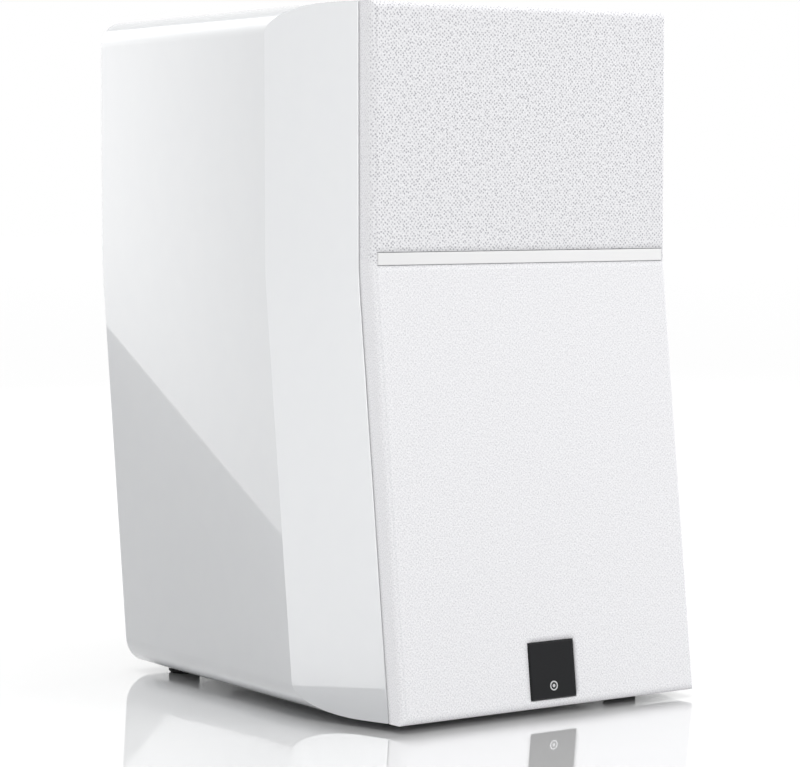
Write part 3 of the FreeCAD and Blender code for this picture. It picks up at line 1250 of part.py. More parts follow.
def rear_screws():
    """Screws that hold the port's flange and the terminal cup to the rear panel."""
    port = [placed(s, rear_place(PORT_HEIGHT)) for s in port_screw_places(screw(0))]
    cup = [placed(s, rear_place(CUP_HEIGHT)) for s in cup_screw_places(screw(0))]
    return group(port + cup)


# ---------------------------------------------------------------- assembly

def at_woofer(maker):
    return placed(maker(), front_place(WOOFER_HEIGHT))


def at_tweeter(maker):
    return placed(maker(), front_place(TWEETER_HEIGHT))


def at_port(maker):
    return placed(maker(), rear_place(PORT_HEIGHT))


def at_cup(maker):
    return placed(maker(), rear_place(CUP_HEIGHT))


def all_nodes():
    """Every node's shape, in the cabinet's frame."""
    nodes = {maker.__name__: maker() for maker in (
        cabinet_shell, front_baffle, rear_panel, cabinet_brace, wadding_pads, rubber_feet,
        grille_frame, grille_cloth, grille_trim_bar, badge_plate, badge_emblem, grille_magnets, baffle_magnets,
        driver_screws, rear_screws,
        crossover_board, crossover_standoffs, crossover_screws, inductor_bobbins, inductor_windings,
        crossover_capacitors, crossover_resistors, crossover_terminals, woofer_leads, tweeter_leads, input_leads)}
    nodes.update({maker.__name__: at_woofer(maker) for maker in (
        woofer_basket, woofer_gasket, woofer_surround, woofer_cone, woofer_dust_cap, woofer_coil_former,
        woofer_coil_winding, woofer_spider, woofer_top_plate, woofer_magnet, woofer_pole_plate,
        woofer_shorting_ring, woofer_tag_board, woofer_tags)})
    nodes.update({maker.__name__: at_tweeter(maker) for maker in (
        tweeter_faceplate, tweeter_dome, tweeter_coil, tweeter_surround, tweeter_top_plate, tweeter_magnet,
        tweeter_pole_plate, tweeter_chamber, tweeter_tags)})
    nodes.update({maker.__name__: at_port(maker) for maker in (port_flange, port_tube)})
    nodes.update({maker.__name__: at_cup(maker) for maker in (
        terminal_cup, terminal_gasket, binding_post_stems, terminal_nuts, terminal_lugs)})
    for colour, x in POST_X.items():
        nodes["post_washer_" + colour] = placed(post_washer(x), rear_place(CUP_HEIGHT))
        nodes["post_knob_" + colour] = placed(post_knob(x), rear_place(CUP_HEIGHT))
    return nodes


def main():
    os.makedirs("parts", exist_ok=True)
    nodes = all_nodes()
    outer = [nodes[name].optimalBoundingBox(True, False) for name in ("cabinet_shell", "grille_cloth", "badge_plate",
                                                                     "badge_emblem")]
    middle_y = (min(b.YMin for b in outer) + max(b.YMax for b in outer)) / 2
    for name, shape in nodes.items():
        shape.translate(Vec(0, -middle_y, 0))     # the origin lies under the middle of the whole box
        shape.exportStep(f"parts/{name}.step")
        solids = shape.Solids
        sound = shape.isValid() and all(s.Volume > 0 for s in solids)
        print(name, len(solids), "solids", round(shape.Volume), "mm3", "" if sound else "NOT SOUND")
    print("depth shift", round(middle_y, 3))


main()
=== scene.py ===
"""Looks of a two-way bookshelf loudspeaker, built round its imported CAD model.

The cabinet, drivers, port and terminals are CAD nodes and get their finishes here. The grille cloth, the
woofer's two suspensions and the wadding are made here as new pieces. Everything is in metres: X to the right
seen from the front, the front faces -Y and Z is up.
"""

import json
import logging
import math
from dataclasses import dataclass
from enum import Enum

import bmesh
import bpy
import numpy as np
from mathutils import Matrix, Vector


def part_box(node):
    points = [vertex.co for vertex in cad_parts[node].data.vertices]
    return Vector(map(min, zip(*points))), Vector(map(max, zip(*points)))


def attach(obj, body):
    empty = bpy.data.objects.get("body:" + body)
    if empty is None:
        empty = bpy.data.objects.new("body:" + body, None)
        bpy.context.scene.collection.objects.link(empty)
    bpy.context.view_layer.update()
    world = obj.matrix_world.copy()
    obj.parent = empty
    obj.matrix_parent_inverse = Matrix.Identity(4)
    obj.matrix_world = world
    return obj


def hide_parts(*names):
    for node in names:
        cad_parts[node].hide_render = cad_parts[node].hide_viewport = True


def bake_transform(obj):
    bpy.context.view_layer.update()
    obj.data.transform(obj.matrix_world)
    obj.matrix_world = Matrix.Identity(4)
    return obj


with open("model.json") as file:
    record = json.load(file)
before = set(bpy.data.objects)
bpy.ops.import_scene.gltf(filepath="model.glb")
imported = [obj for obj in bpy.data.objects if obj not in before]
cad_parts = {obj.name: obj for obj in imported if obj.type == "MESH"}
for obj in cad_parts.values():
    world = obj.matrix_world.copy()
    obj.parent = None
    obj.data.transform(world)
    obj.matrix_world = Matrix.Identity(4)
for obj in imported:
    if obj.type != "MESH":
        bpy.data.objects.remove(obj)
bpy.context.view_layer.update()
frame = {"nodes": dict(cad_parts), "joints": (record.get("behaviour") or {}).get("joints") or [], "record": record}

LOG = logging.getLogger("speaker")
MM = 0.001
PER_MM = 1.0 / MM
SAME_PLACE = 1e-6           # metres within which two places count as one

# Sizes of the CAD model that several of the pieces made here follow.
BAR_PROUD = 0.3 * MM        # the trim bar stands out from the cloth
GRILLE_DEPTH = 12.5 * MM    # cabinet front to the grille's face
CABINET_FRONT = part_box("grille_trim_bar")[0].y + BAR_PROUD + GRILLE_DEPTH
WOOFER_Z = 134.0 * MM       # the woofer's centre, on the cabinet's front


# ---------------------------------------------------------------- finishes

class Pattern(Enum):
    """How a surface was made, which sets its fine pattern."""

    LACQUER = "sprayed and polished: a slow orange peel"
    GRAIN = "moulded, painted or pressed: a fine even grain"
    CELLS = "cast, foamed or sintered: small rounded cells"
    BRUSHED = "rolled, turned or drawn: fine scratches one way"
    FIBRES = "fibres lying in all directions"
    WOVEN = "two sets of threads crossing"
    WOUND = "turns of wire lying side by side"
    KNIT = "a warp knit with a small opening in each stitch"


@dataclass(frozen=True)
class Finish:
    """One finish of the speaker.

    Attributes:
        name: the material's name.
        colour: sRGB hex value where the pattern is 1.
        shade: sRGB hex value where the pattern is 0.
        pattern: how the surface was made.
        pitch_mm: size of the pattern's repeat on the real surface, in millimetres.
        relief_mm: height of the pattern, in millimetres.
        roughness: roughness where the pattern is 1.
        rough_swing: how much rougher it is where the pattern is 0.
        metallic: 1 for bare metal.
        ior: index of refraction, for what isn't metal.
        coat: weight of a clear coat.
        sheen: weight of the soft edge light of short fibres.
    """

    name: str
    colour: str
    shade: str
    pattern: Pattern
    pitch_mm: float
    relief_mm: float
    roughness: float
    rough_swing: float = 0.05
    metallic: float = 0.0
    ior: float = 1.5
    coat: float = 0.0
    sheen: float = 0.0


# Two-pack polyurethane lacquer on fibreboard, sprayed and polished. Its clear coat mirrors the room sharply,
# and a slow orange peel bends long reflections a little.
WHITE_LACQUER = Finish("white_polyurethane_lacquer", "#ECEEF0", "#E9EBEE", Pattern.LACQUER, 14.0, 0.004, 0.22, 0.02,
                       coat=1.0)
# Acoustic cloth, a white polyester warp knit. Each stitch leaves an opening that shows dark; it is drawn a
# little coarser than the real 1 mm or so, which would be too fine to show.
GRILLE_KNIT = Finish("polyester_grille_knit", "#FAFAFC", "#B4B4B9", Pattern.KNIT, 1.75, 0.12, 0.85, 0.05, sheen=0.12)
# Acrylic trim with a polished face.
TRIM_ACRYLIC = Finish("white_acrylic_trim", "#FBFBFB", "#F8F8F9", Pattern.LACQUER, 20.0, 0.001, 0.10, 0.02, ior=1.49)

FINISHES: dict[str, Finish] = {
    "gloss_white_lacquer": WHITE_LACQUER,
    "white_grille_cloth": GRILLE_KNIT,
    "gloss_white_trim": TRIM_ACRYLIC,
    # Moulded ABS, satin, nearly black, with a fine spark-eroded grain.
    "slate_badge": Finish("slate_abs", "#17181B", "#111214", Pattern.GRAIN, 0.7, 0.004, 0.36, 0.06, ior=1.33),
    "white_inlay": Finish("white_pressed_inlay", "#D9DADC", "#D0D1D3", Pattern.GRAIN, 0.5, 0.002, 0.3),
    # Fibreboard with satin black paint: the fibres still show through as a soft nap.
    "black_painted_board": Finish("black_painted_fibreboard", "#17171A", "#101012", Pattern.FIBRES, 1.6, 0.03, 0.5,
                                  0.1),
    "bare_fibreboard": Finish("sawn_fibreboard", "#B4936A", "#8F7049", Pattern.FIBRES, 1.2, 0.05, 0.85, 0.1),
    # Carded polyester fleece: loose crimped fibres that scatter light and hold small shadows.
    "polyester_wadding": Finish("polyester_fleece", "#EDEDE9", "#C9C9C3", Pattern.FIBRES, 2.4, 1.2, 0.95, 0.05,
                                sheen=0.4),
    "black_rubber": Finish("moulded_nitrile_rubber", "#1C1C1D", "#141415", Pattern.GRAIN, 0.5, 0.02, 0.72, 0.08),
    # Injection-moulded polypropylene, pale, with a matt mould texture.
    "pale_moulded_plastic": Finish("pale_polypropylene", "#D2D3D5", "#C6C7CA", Pattern.GRAIN, 0.6, 0.02, 0.55, 0.08),
    "nickel_plate": Finish("nickel_plate", "#C9C4BA", "#BDB8AE", Pattern.BRUSHED, 0.4, 0.002, 0.2, 0.08,
                           metallic=1.0),
    # Black-oxidised steel keeps a dull metallic glint on its edges.
    "black_steel": Finish("black_oxide_steel", "#28282B", "#1D1D1F", Pattern.GRAIN, 0.3, 0.003, 0.42, 0.1,
                          metallic=0.8),
    "circuit_board": Finish("solder_mask_laminate", "#1D5A38", "#2E7A4C", Pattern.WOVEN, 1.4, 0.01, 0.32, 0.1),
    "white_nylon": Finish("natural_nylon", "#E4E2D8", "#DAD8CC", Pattern.GRAIN, 0.8, 0.01, 0.45),
    "zinc_steel": Finish("zinc_plated_steel", "#B7BBC2", "#A3A9B4", Pattern.BRUSHED, 0.5, 0.004, 0.32, 0.12,
                         metallic=1.0),
    # Enamelled magnet wire, wound in even turns of about a millimetre.
    "enamelled_copper": Finish("enamelled_copper_wire", "#B4622E", "#6E3516", Pattern.WOUND, 1.0, 0.2, 0.28, 0.08,
                               metallic=1.0),
    "bare_copper": Finish("turned_copper", "#C77C57", "#A9603E", Pattern.BRUSHED, 0.4, 0.004, 0.3, 0.1, metallic=1.0),
    "capacitor_film": Finish("wrapped_polyester_film", "#B98F22", "#A67D18", Pattern.BRUSHED, 1.5, 0.01, 0.25, 0.08),
    "cement_resistor": Finish("cement_filled_ceramic", "#CFCBC1", "#AFAAA0", Pattern.CELLS, 0.8, 0.05, 0.85, 0.1),
    "green_plastic": Finish("green_polyamide", "#2E7D46", "#256B3A", Pattern.GRAIN, 0.5, 0.01, 0.45),
    "lead_insulation": Finish("soft_vinyl_insulation", "#1B1B1D", "#121213", Pattern.GRAIN, 0.6, 0.01, 0.45),
    # Aluminium pressure casting with black powder coat: a fine pebbled skin.
    "black_cast_aluminium": Finish("powder_coated_casting", "#1E1F21", "#151617", Pattern.CELLS, 0.6, 0.03, 0.5,
                                   0.12),
    "black_foam": Finish("closed_cell_foam", "#1D1D1E", "#111112", Pattern.CELLS, 0.5, 0.06, 0.9, 0.05),
    # Butyl rubber, moulded smooth, with a soft satin light on the roll.
    "butyl_rubber": Finish("butyl_rubber_roll", "#19191B", "#131314", Pattern.GRAIN, 0.7, 0.01, 0.42, 0.08),
    # Long-fibre paper pulp with a thin black coating: fibres and small pits still show.
    "coated_paper_cone": Finish("coated_pulp_paper", "#202124", "#17181A", Pattern.FIBRES, 1.4, 0.05, 0.55, 0.12),
    "polyimide_former": Finish("polyimide_film", "#9A5A1C", "#874C14", Pattern.BRUSHED, 0.6, 0.003, 0.25),
    # Cotton cloth stiffened with phenolic resin, pressed into corrugations.
    "resin_cloth": Finish("resin_treated_cotton", "#C99A4B", "#A87A30", Pattern.WOVEN, 0.8, 0.06, 0.75, 0.08,
                          sheen=0.1),
    "ferrite": Finish("ground_ferrite", "#3A3A3D", "#2C2C2F", Pattern.CELLS, 0.7, 0.02, 0.6, 0.15),
    "phenolic_board": Finish("phenolic_laminate", "#6B3E1E", "#583116", Pattern.WOVEN, 1.0, 0.02, 0.5),
    "tinned_brass": Finish("tinned_brass", "#C8C5BC", "#B4B0A6", Pattern.BRUSHED, 0.4, 0.004, 0.35, 0.1,
                           metallic=1.0),
    "black_anodised_aluminium": Finish("black_anodised_aluminium", "#232427", "#1B1C1E", Pattern.BRUSHED, 0.35, 0.004,
                                       0.38, 0.08, metallic=0.6),
    # Silk woven at about four threads to the millimetre, drawn coarser so that it shows, and damped with a
    # tacky clear coating.
    "coated_silk": Finish("damped_silk", "#2A2A2C", "#1A1A1C", Pattern.WOVEN, 0.5, 0.03, 0.5, 0.1, coat=0.15),
    "black_moulded_plastic": Finish("black_abs", "#1A1A1C", "#131315", Pattern.GRAIN, 0.5, 0.02, 0.5, 0.08),
    "gold_brass": Finish("gold_flashed_brass", "#E0B35A", "#CF9F46", Pattern.BRUSHED, 0.3, 0.002, 0.18, 0.08,
                         metallic=1.0),
    "red_clear_plastic": Finish("red_polycarbonate", "#B3141B", "#8E0C12", Pattern.GRAIN, 1.0, 0.004, 0.12, 0.04,
                                ior=1.58),
    "black_clear_plastic": Finish("black_polycarbonate", "#1B1B1E", "#121214", Pattern.GRAIN, 1.0, 0.004, 0.12, 0.04,
                                  ior=1.58),
}

COAT_ROUGHNESS = 0.02
# Scratches repeat along the brushing at this share of the rate at which they repeat across it.
BRUSH_STRETCH = 0.06

# Share of the full darkness that the knit's openings have below the trim bar. The fainter openings there are painted
# light: they make the leaning lower cloth lighter, as more light falls on it.
PAINTED_LIGHT_LOWER_OPENINGS = 0.20
OPENING_RADIUS_MM = 0.70
OPENING_CORE = 0.35         # share of the opening's radius that is fully dark
KNIT_IRREGULARITY = 0.42
PATCH_MM = 3.0              # size of the patches in which the openings are more or less open
PATCH_LEAST = 0.25          # openness of the tightest patches
WRAP_CLOSING = 0.6          # how much the openings close where the cloth goes round an edge
# The yarns' own light and shade: size of a loop, and its share of the full darkness.
YARN_MM = 0.75
YARN_SHADE = 0.42
OPENNESS = "openness"
CLOTH_MAP = "cloth"


def linear(code: str) -> tuple[float, float, float, float]:
    """Linear RGBA of an sRGB hex colour.

    Args:
        code: the colour as "#RRGGBB".

    Returns:
        Red, green, blue and alpha from 0 to 1.
    """
    values = [int(code[i:i + 2], 16) / 255.0 for i in (1, 3, 5)]
    red, green, blue = (v / 12.92 if v <= 0.04045 else ((v + 0.055) / 1.055) ** 2.4 for v in values)
    return red, green, blue, 1.0


def add(tree: bpy.types.NodeTree, kind: str, inputs: dict | None = None, **settings: object) -> bpy.types.Node:
    """Adds one node.

    Args:
        tree: the material's or world's node tree.
        kind: the node's type without "ShaderNode".
        inputs: what goes into its sockets, by name or number: a value, or another node's output to link.
        settings: the node's own properties.

    Returns:
        The new node.
    """
    node = tree.nodes.new("ShaderNode" + kind)
    for key, value in settings.items():
        setattr(node, key, value)
    for key, value in (inputs or {}).items():
        if isinstance(value, bpy.types.NodeSocket):
            tree.links.new(value, node.inputs[key])
        else:
            node.inputs[key].default_value = value
    return node


class Dresser:
    """Makes each finish's material once and puts it on pieces."""

    def __init__(self) -> None:
        """Starts with no materials made."""
        self.made: dict[str, bpy.types.Material] = {}

    def material(self, slot: str) -> bpy.types.Material:
        """Material of one of the record's slots, made on first use."""
        if slot not in self.made:
            self.made[slot] = self._build(FINISHES[slot])
        return self.made[slot]

    def _pattern(self, tree: bpy.types.NodeTree, finish: Finish) -> bpy.types.NodeSocket:
        """A pattern from 0 to 1 at the finish's pitch.

        Args:
            tree: the material's node tree.
            finish: the finish.

        Returns:
            The socket with the pattern: 1 is raised or in the main colour, 0 is sunk or in the shade.
        """
        if finish.pattern is Pattern.KNIT:
            return self._knit(tree, finish)
        place = add(tree, "TexCoord").outputs["Object"]
        per_metre = PER_MM / finish.pitch_mm
        if finish.pattern is Pattern.CELLS:
            cells = add(tree, "TexVoronoi", {"Vector": place, "Scale": per_metre}, feature="SMOOTH_F1")
            return add(tree, "MapRange", {"Value": cells.outputs["Distance"], "From Max": 0.8}).outputs["Result"]
        if finish.pattern is Pattern.WOUND:
            bands = add(tree, "TexWave", {"Vector": place, "Scale": per_metre / 2}, bands_direction="Z",
                        wave_profile="SIN")
            return bands.outputs["Fac"]
        if finish.pattern is Pattern.WOVEN:
            threads = [add(tree, "TexWave", {"Vector": place, "Scale": per_metre / 2, "Distortion": 0.4},
                           bands_direction=way, wave_profile="SIN").outputs["Fac"] for way in ("X", "Z")]
            return add(tree, "Math", {0: threads[0], 1: threads[1]}, operation="MULTIPLY").outputs[0]
        if finish.pattern is Pattern.BRUSHED:
            stretched = (per_metre * BRUSH_STRETCH, per_metre, per_metre)
            along = add(tree, "Mapping", {"Vector": place, "Scale": stretched})
            scratches = add(tree, "TexNoise", {"Vector": along.outputs[0], "Scale": 1.0, "Detail": 3.0})
            return scratches.outputs["Fac"]
        if finish.pattern is Pattern.FIBRES:
            bent = add(tree, "TexNoise", {"Vector": place, "Scale": per_metre / 2, "Detail": 4.0, "Roughness": 0.7,
                                          "Distortion": 2.2})
            spread = add(tree, "MapRange", {"Value": bent.outputs["Fac"], "From Min": 0.3, "From Max": 0.7})
            return spread.outputs["Result"]
        detail = 1.0 if finish.pattern is Pattern.LACQUER else 4.0
        noise = add(tree, "TexNoise", {"Vector": place, "Scale": per_metre, "Detail": detail})
        return noise.outputs["Fac"]

    def _knit(self, tree: bpy.types.NodeTree, finish: Finish) -> bpy.types.NodeSocket:
        """Staggered rows of small openings, on the cloth's own map.

        The map is turned by 45 degrees, so the square cells of a Voronoi texture become staggered rows. The
        distance from a cell's centre gives a round opening, weaker where the openness attribute is lower: round the
        edges, and below the trim bar as painted light.

        Args:
            tree: the material's node tree.
            finish: the cloth's finish.

        Returns:
            The socket with the pattern: 1 on the threads, less in the openings.
        """
        flat = add(tree, "UVMap", uv_map=CLOTH_MAP).outputs[0]
        scale = PER_MM / finish.pitch_mm
        turned = add(tree, "Mapping", {"Vector": flat, "Rotation": (0.0, 0.0, math.radians(45)),
                                       "Scale": (scale, scale, 1.0)})
        cells = add(tree, "TexVoronoi", {"Vector": turned.outputs[0], "Scale": 1.0, "Randomness": KNIT_IRREGULARITY},
                    voronoi_dimensions="2D")
        radius = OPENING_RADIUS_MM / finish.pitch_mm
        depth = add(tree, "MapRange", {"Value": cells.outputs["Distance"], "From Min": radius * OPENING_CORE,
                                       "From Max": radius, "To Min": 1.0, "To Max": 0.0},
                    interpolation_type="SMOOTHSTEP")
        openness = add(tree, "Attribute", attribute_name=OPENNESS)
        uneven = add(tree, "TexNoise", {"Vector": flat, "Scale": PER_MM / PATCH_MM, "Detail": 2.0})
        amount = add(tree, "MapRange", {"Value": uneven.outputs["Fac"], "From Min": 0.35, "From Max": 0.65,
                                        "To Min": PATCH_LEAST, "To Max": 1.0})
        hole = add(tree, "Math", {0: depth.outputs[0], 1: openness.outputs["Fac"]}, operation="MULTIPLY")
        hole = add(tree, "Math", {0: hole.outputs[0], 1: amount.outputs[0]}, operation="MULTIPLY")
        yarn = add(tree, "TexNoise", {"Vector": flat, "Scale": PER_MM / YARN_MM, "Detail": 1.0})
        loops = add(tree, "MapRange", {"Value": yarn.outputs["Fac"], "From Min": 0.3, "From Max": 0.7,
                                       "To Min": 1.0 - YARN_SHADE, "To Max": 1.0})
        return add(tree, "Math", {0: loops.outputs[0], 1: hole.outputs[0]}, operation="SUBTRACT").outputs[0]

    def _build(self, finish: Finish) -> bpy.types.Material:
        """Material of one finish: its two colours, roughness and relief all follow the same pattern.

        Args:
            finish: the finish.

        Returns:
            The material.
        """
        material = bpy.data.materials.new(finish.name)
        material.use_nodes = True
        tree = material.node_tree
        tree.nodes.clear()
        pattern = self._pattern(tree, finish)
        colour = self._blend(tree, pattern, finish)
        rough = add(tree, "MapRange", {"Value": pattern, "To Min": finish.roughness + finish.rough_swing,
                                       "To Max": finish.roughness})
        relief = add(tree, "Bump", {"Height": pattern, "Distance": finish.relief_mm * MM, "Strength": 1.0})
        shader = add(tree, "BsdfPrincipled", {
            "Base Color": colour, "Metallic": finish.metallic, "Roughness": rough.outputs["Result"],
            "Normal": relief.outputs[0], "Coat Weight": finish.coat, "Coat Roughness": COAT_ROUGHNESS,
            "Sheen Weight": finish.sheen})
        if not finish.metallic:
            shader.inputs["IOR"].default_value = finish.ior
        add(tree, "OutputMaterial", {"Surface": shader.outputs[0]})
        return material

    def _blend(self, tree: bpy.types.NodeTree, pattern: bpy.types.NodeSocket, finish: Finish) -> bpy.types.NodeSocket:
        """Colour that runs from the shade to the main colour with the pattern."""
        ramp = add(tree, "ValToRGB", {"Fac": pattern})
        ramp.color_ramp.elements[0].color = linear(finish.shade)
        ramp.color_ramp.elements[1].color = linear(finish.colour)
        return ramp.outputs["Color"]

    def dress(self, piece: bpy.types.Object, slot: str) -> None:
        """Gives a piece a slot's material.

        Args:
            piece: a CAD node's object or a new piece.
            slot: the record's name of the material slot.
        """
        material = self.material(slot)
        if piece.material_slots:
            for own in piece.material_slots:
                own.material = material
        else:
            piece.data.materials.append(material)


# ---------------------------------------------------------------- shared geometry

def grid_faces(rows: int, columns: int, keep: np.ndarray | None = None, closed: bool = False) -> np.ndarray:
    """Quads of a grid of points numbered row by row.

    Args:
        rows: number of rows of points.
        columns: points in a row.
        keep: which cells to keep, as (rows - 1, columns - 1) booleans, or None for all.
        closed: join each row's last point to its first.

    Returns:
        The quads' four point numbers, counter-clockwise where columns run right and rows run up.
    """
    number = np.arange(rows * columns).reshape(rows, columns)
    if closed:
        number = np.append(number, number[:, :1], axis=1)
    quads = np.stack([number[:-1, :-1], number[:-1, 1:], number[1:, 1:], number[1:, :-1]], axis=-1)
    return quads.reshape(-1, 4) if keep is None else quads[keep]


def make_piece(name: str, points: np.ndarray, faces: list) -> bpy.types.Object:
    """Object at the origin with its place in its mesh.

    Args:
        name: the piece's name.
        points: (n, 3) array of corners in the speaker's frame.
        faces: the faces' point numbers.

    Returns:
        The new, smooth-shaded object.
    """
    mesh = bpy.data.meshes.new(name)
    mesh.from_pydata(points.tolist(), [], faces)
    mesh.polygons.foreach_set("use_smooth", np.ones(len(mesh.polygons), bool))
    piece = bpy.data.objects.new(name, mesh)
    bpy.context.scene.collection.objects.link(piece)
    return piece


def clean_mesh(piece: bpy.types.Object, distance: float = SAME_PLACE, outwards: bool = True) -> None:
    """Merges corners that fall together and turns the faces outwards.

    Args:
        piece: the piece.
        distance: how near two corners are merged.
        outwards: recalculate the normals, which suits a closed shape.
    """
    work = bmesh.new()
    work.from_mesh(piece.data)
    bmesh.ops.remove_doubles(work, verts=work.verts, dist=distance)
    if outwards:
        bmesh.ops.recalc_face_normals(work, faces=work.faces)
    work.to_mesh(piece.data)
    work.free()


@dataclass(frozen=True)
class Lean:
    """The cabinet's bend: vertical above, and leaning forwards towards the bottom below."""

    angle: float
    kink: float = 0.237
    radius: float = 0.200

    def shift(self, z: np.ndarray) -> np.ndarray:
        """How far the cabinet's plan is shifted along Y at heights z.

        Below the bend the shift grows with the tangent of the angle, through the bend it follows a circle of
        the bend's radius, and above it is zero.
        """
        reach = self.radius * math.tan(self.angle / 2)
        top = self.kink + reach
        low = self.kink - reach * math.cos(self.angle)
        slanted = -(self.kink - z) * math.tan(self.angle)
        inside = np.clip(self.radius ** 2 - (top - z) ** 2, 0, None)
        curved = -(self.radius - np.sqrt(inside))
        return np.where(z >= top, 0.0, np.where(z <= low, slanted, curved))


def lean_angle() -> float:
    """The lean, from the way the woofer's joint points."""
    axis = next(j["axis"] for j in frame["joints"] if j["name"] == "woofer_excursion")
    return math.atan2(axis[2], -axis[1])


# ---------------------------------------------------------------- grille cloth

@dataclass
class GrilleCloth:
    """White knit stretched over the grille frame, wrapped round its four sides and cut out for bar and badge.

    Attributes:
        lean: the cabinet's bend.
        wrap_radius: rounding of the frame's edges.
        thickness: of the cloth.
        seam: gap between the cloth and the bar's or the badge's outline.
        shadow_gap: between the cloth's rear edge and the cabinet.
        cell: side of the mesh's cells on the flat face.
        wrap_steps: cells round an edge.
        side_steps: cells along a side.
    """

    lean: Lean
    wrap_radius: float = 3.8 * MM
    thickness: float = 0.5 * MM
    seam: float = 0.35 * MM
    shadow_gap: float = 0.8 * MM
    cell: float = 3.0 * MM
    wrap_steps: int = 6
    side_steps: int = 4

    def __post_init__(self) -> None:
        """Takes the frame's, the bar's and the badge's places from the CAD nodes."""
        self.low, self.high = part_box("grille_cloth")
        self.bar_low, self.bar_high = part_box("grille_trim_bar")
        self.badge_low, self.badge_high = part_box("badge_plate")
        self.face_y = self.bar_low.y + BAR_PROUD

    def _marks(self, start: float, end: float, cuts: list[float]) -> np.ndarray:
        """Flat part's grid lines from start to end, with lines exactly on the cuts."""
        stops = sorted([start, end, *cuts])
        runs = [np.linspace(a, b, max(2, int(round((b - a) / self.cell)) + 1))[:-1]
                for a, b in zip(stops, stops[1:]) if b - a > SAME_PLACE]
        return np.append(np.concatenate(runs), end)

    def _line(self, low: float, high: float, cuts: list[float]) -> tuple[np.ndarray, ...]:
        """One direction of the sheet, from edge to edge.

        The flat part runs between the two roundings. Each rounding is a quarter circle of the wrap radius:
        place = centre + r sin t, depth = r - r cos t. Past it the side runs straight back.

        Args:
            low: lowest place of the wrapped sheet.
            high: highest place.
            cuts: places where a grid line is wanted.

        Returns:
            For each grid line its place, its depth within the rounding, its share of the straight side, and its
            length along the sheet from the middle.
        """
        r = self.wrap_radius
        flat = self._marks(low + r, high - r, cuts)
        turn = np.linspace(0, math.pi / 2, self.wrap_steps + 1)[1:]
        back = np.linspace(0, 1, self.side_steps + 1)[1:]
        side = GRILLE_DEPTH - self.shadow_gap
        place = np.concatenate([np.full(back.size, low), (low + r - r * np.sin(turn))[::-1], flat,
                                high - r + r * np.sin(turn), np.full(back.size, high)])
        depth = np.concatenate([np.full(back.size, r), (r - r * np.cos(turn))[::-1], np.zeros(flat.size),
                                r - r * np.cos(turn), np.full(back.size, r)])
        share = np.concatenate([back[::-1], np.zeros(turn.size), np.zeros(flat.size), np.zeros(turn.size), back])
        middle = (low + high) / 2
        arc = r * turn
        run = arc[-1] + back * side
        length = np.concatenate([(low + r - middle - run)[::-1], (low + r - middle - arc)[::-1], flat - middle,
                                 high - r - middle + arc, high - r - middle + run])
        return place, depth, share, length

    def build(self, dresser: Dresser) -> bpy.types.Object:
        """Makes the sheet.

        Each grid point takes its X from its column and its Z from its row. Its depth behind the leaning face is
        the larger of the column's and the row's, so that the side wraps and the top and bottom wraps meet in a
        mitre at each corner. Cells inside the bar's and the badge's outlines are left out.

        Args:
            dresser: gives the cloth its finish.

        Returns:
            The cloth.
        """
        seam = self.seam
        tilt = math.cos(self.lean.angle)
        badge_middle = (self.badge_low.z + self.badge_high.z) / 2
        badge_half = (self.badge_high.x - self.badge_low.x) / 2
        bar_z = (self.bar_low.z - seam, self.bar_high.z + seam)
        badge_z = (badge_middle - (badge_half + seam) * tilt, badge_middle + (badge_half + seam) * tilt)
        bar_x = (self.bar_low.x - seam, self.bar_high.x + seam)
        badge_x = (self.badge_low.x - seam, self.badge_high.x + seam)
        x, dx, sx, across = self._line(self.low.x, self.high.x, [*bar_x, *badge_x])
        z, dz, sz, along = self._line(self.low.z, self.high.z, [*bar_z, self.bar_low.z, *badge_z])
        face = self.face_y - np.maximum(0.0, self.bar_low.z - z) * math.tan(self.lean.angle)
        back = self.face_y + GRILLE_DEPTH + self.lean.shift(z) - self.shadow_gap
        side = back - face - self.wrap_radius
        deep = np.maximum(dx[None, :] + sx[None, :] * side[:, None], (dz + sz * side)[:, None])
        points = np.stack(np.broadcast_arrays(x[None, :], face[:, None] + deep, z[:, None]), axis=-1).reshape(-1, 3)

        def inside(marks: np.ndarray, span: tuple[float, float]) -> np.ndarray:
            """Which cells between grid lines lie in a span."""
            middles = (marks[:-1] + marks[1:]) / 2
            return (middles > span[0]) & (middles < span[1])

        wrapped_x = (sx[:-1] + sx[1:]) > 0
        wrapped_z = (sz[:-1] + sz[1:]) > 0
        cut = inside(z, bar_z)[:, None] & inside(x, bar_x)[None, :]
        cut |= inside(z, badge_z)[:, None] & inside(x, badge_x)[None, :]
        cut |= wrapped_z[:, None] & wrapped_x[None, :]
        quads = grid_faces(z.size, x.size, ~cut)
        cloth = make_piece("grille_cloth_knit", points, quads.tolist())
        uv = np.stack(np.broadcast_arrays(across[None, :], along[:, None]), axis=-1).reshape(-1, 2)
        layer = cloth.data.uv_layers.new(name=CLOTH_MAP)
        layer.data.foreach_set("uv", uv[quads.reshape(-1)].astype(np.float32).reshape(-1))
        # Painted light: the openings are drawn fainter below the trim bar, so the lower cloth looks lighter.
        openness = np.where(z > self.bar_low.z, 1.0, PAINTED_LIGHT_LOWER_OPENINGS)
        wrapped = np.maximum(dx[None, :] + sx[None, :], (dz + sz)[:, None]) / self.wrap_radius
        edge = 1.0 - WRAP_CLOSING * np.clip(wrapped, 0, 1)
        spread = cloth.data.attributes.new(OPENNESS, "FLOAT", "POINT")
        spread.data.foreach_set("value", (openness[:, None] * edge).astype(np.float32).reshape(-1))
        clean_mesh(cloth, outwards=False)
        wall = cloth.modifiers.new("thickness", "SOLIDIFY")
        wall.thickness = self.thickness
        wall.offset = -1.0
        dresser.dress(cloth, "white_grille_cloth")
        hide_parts("grille_cloth")
        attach(cloth, "grille")
        return cloth


# ---------------------------------------------------------------- suspensions of the woofer

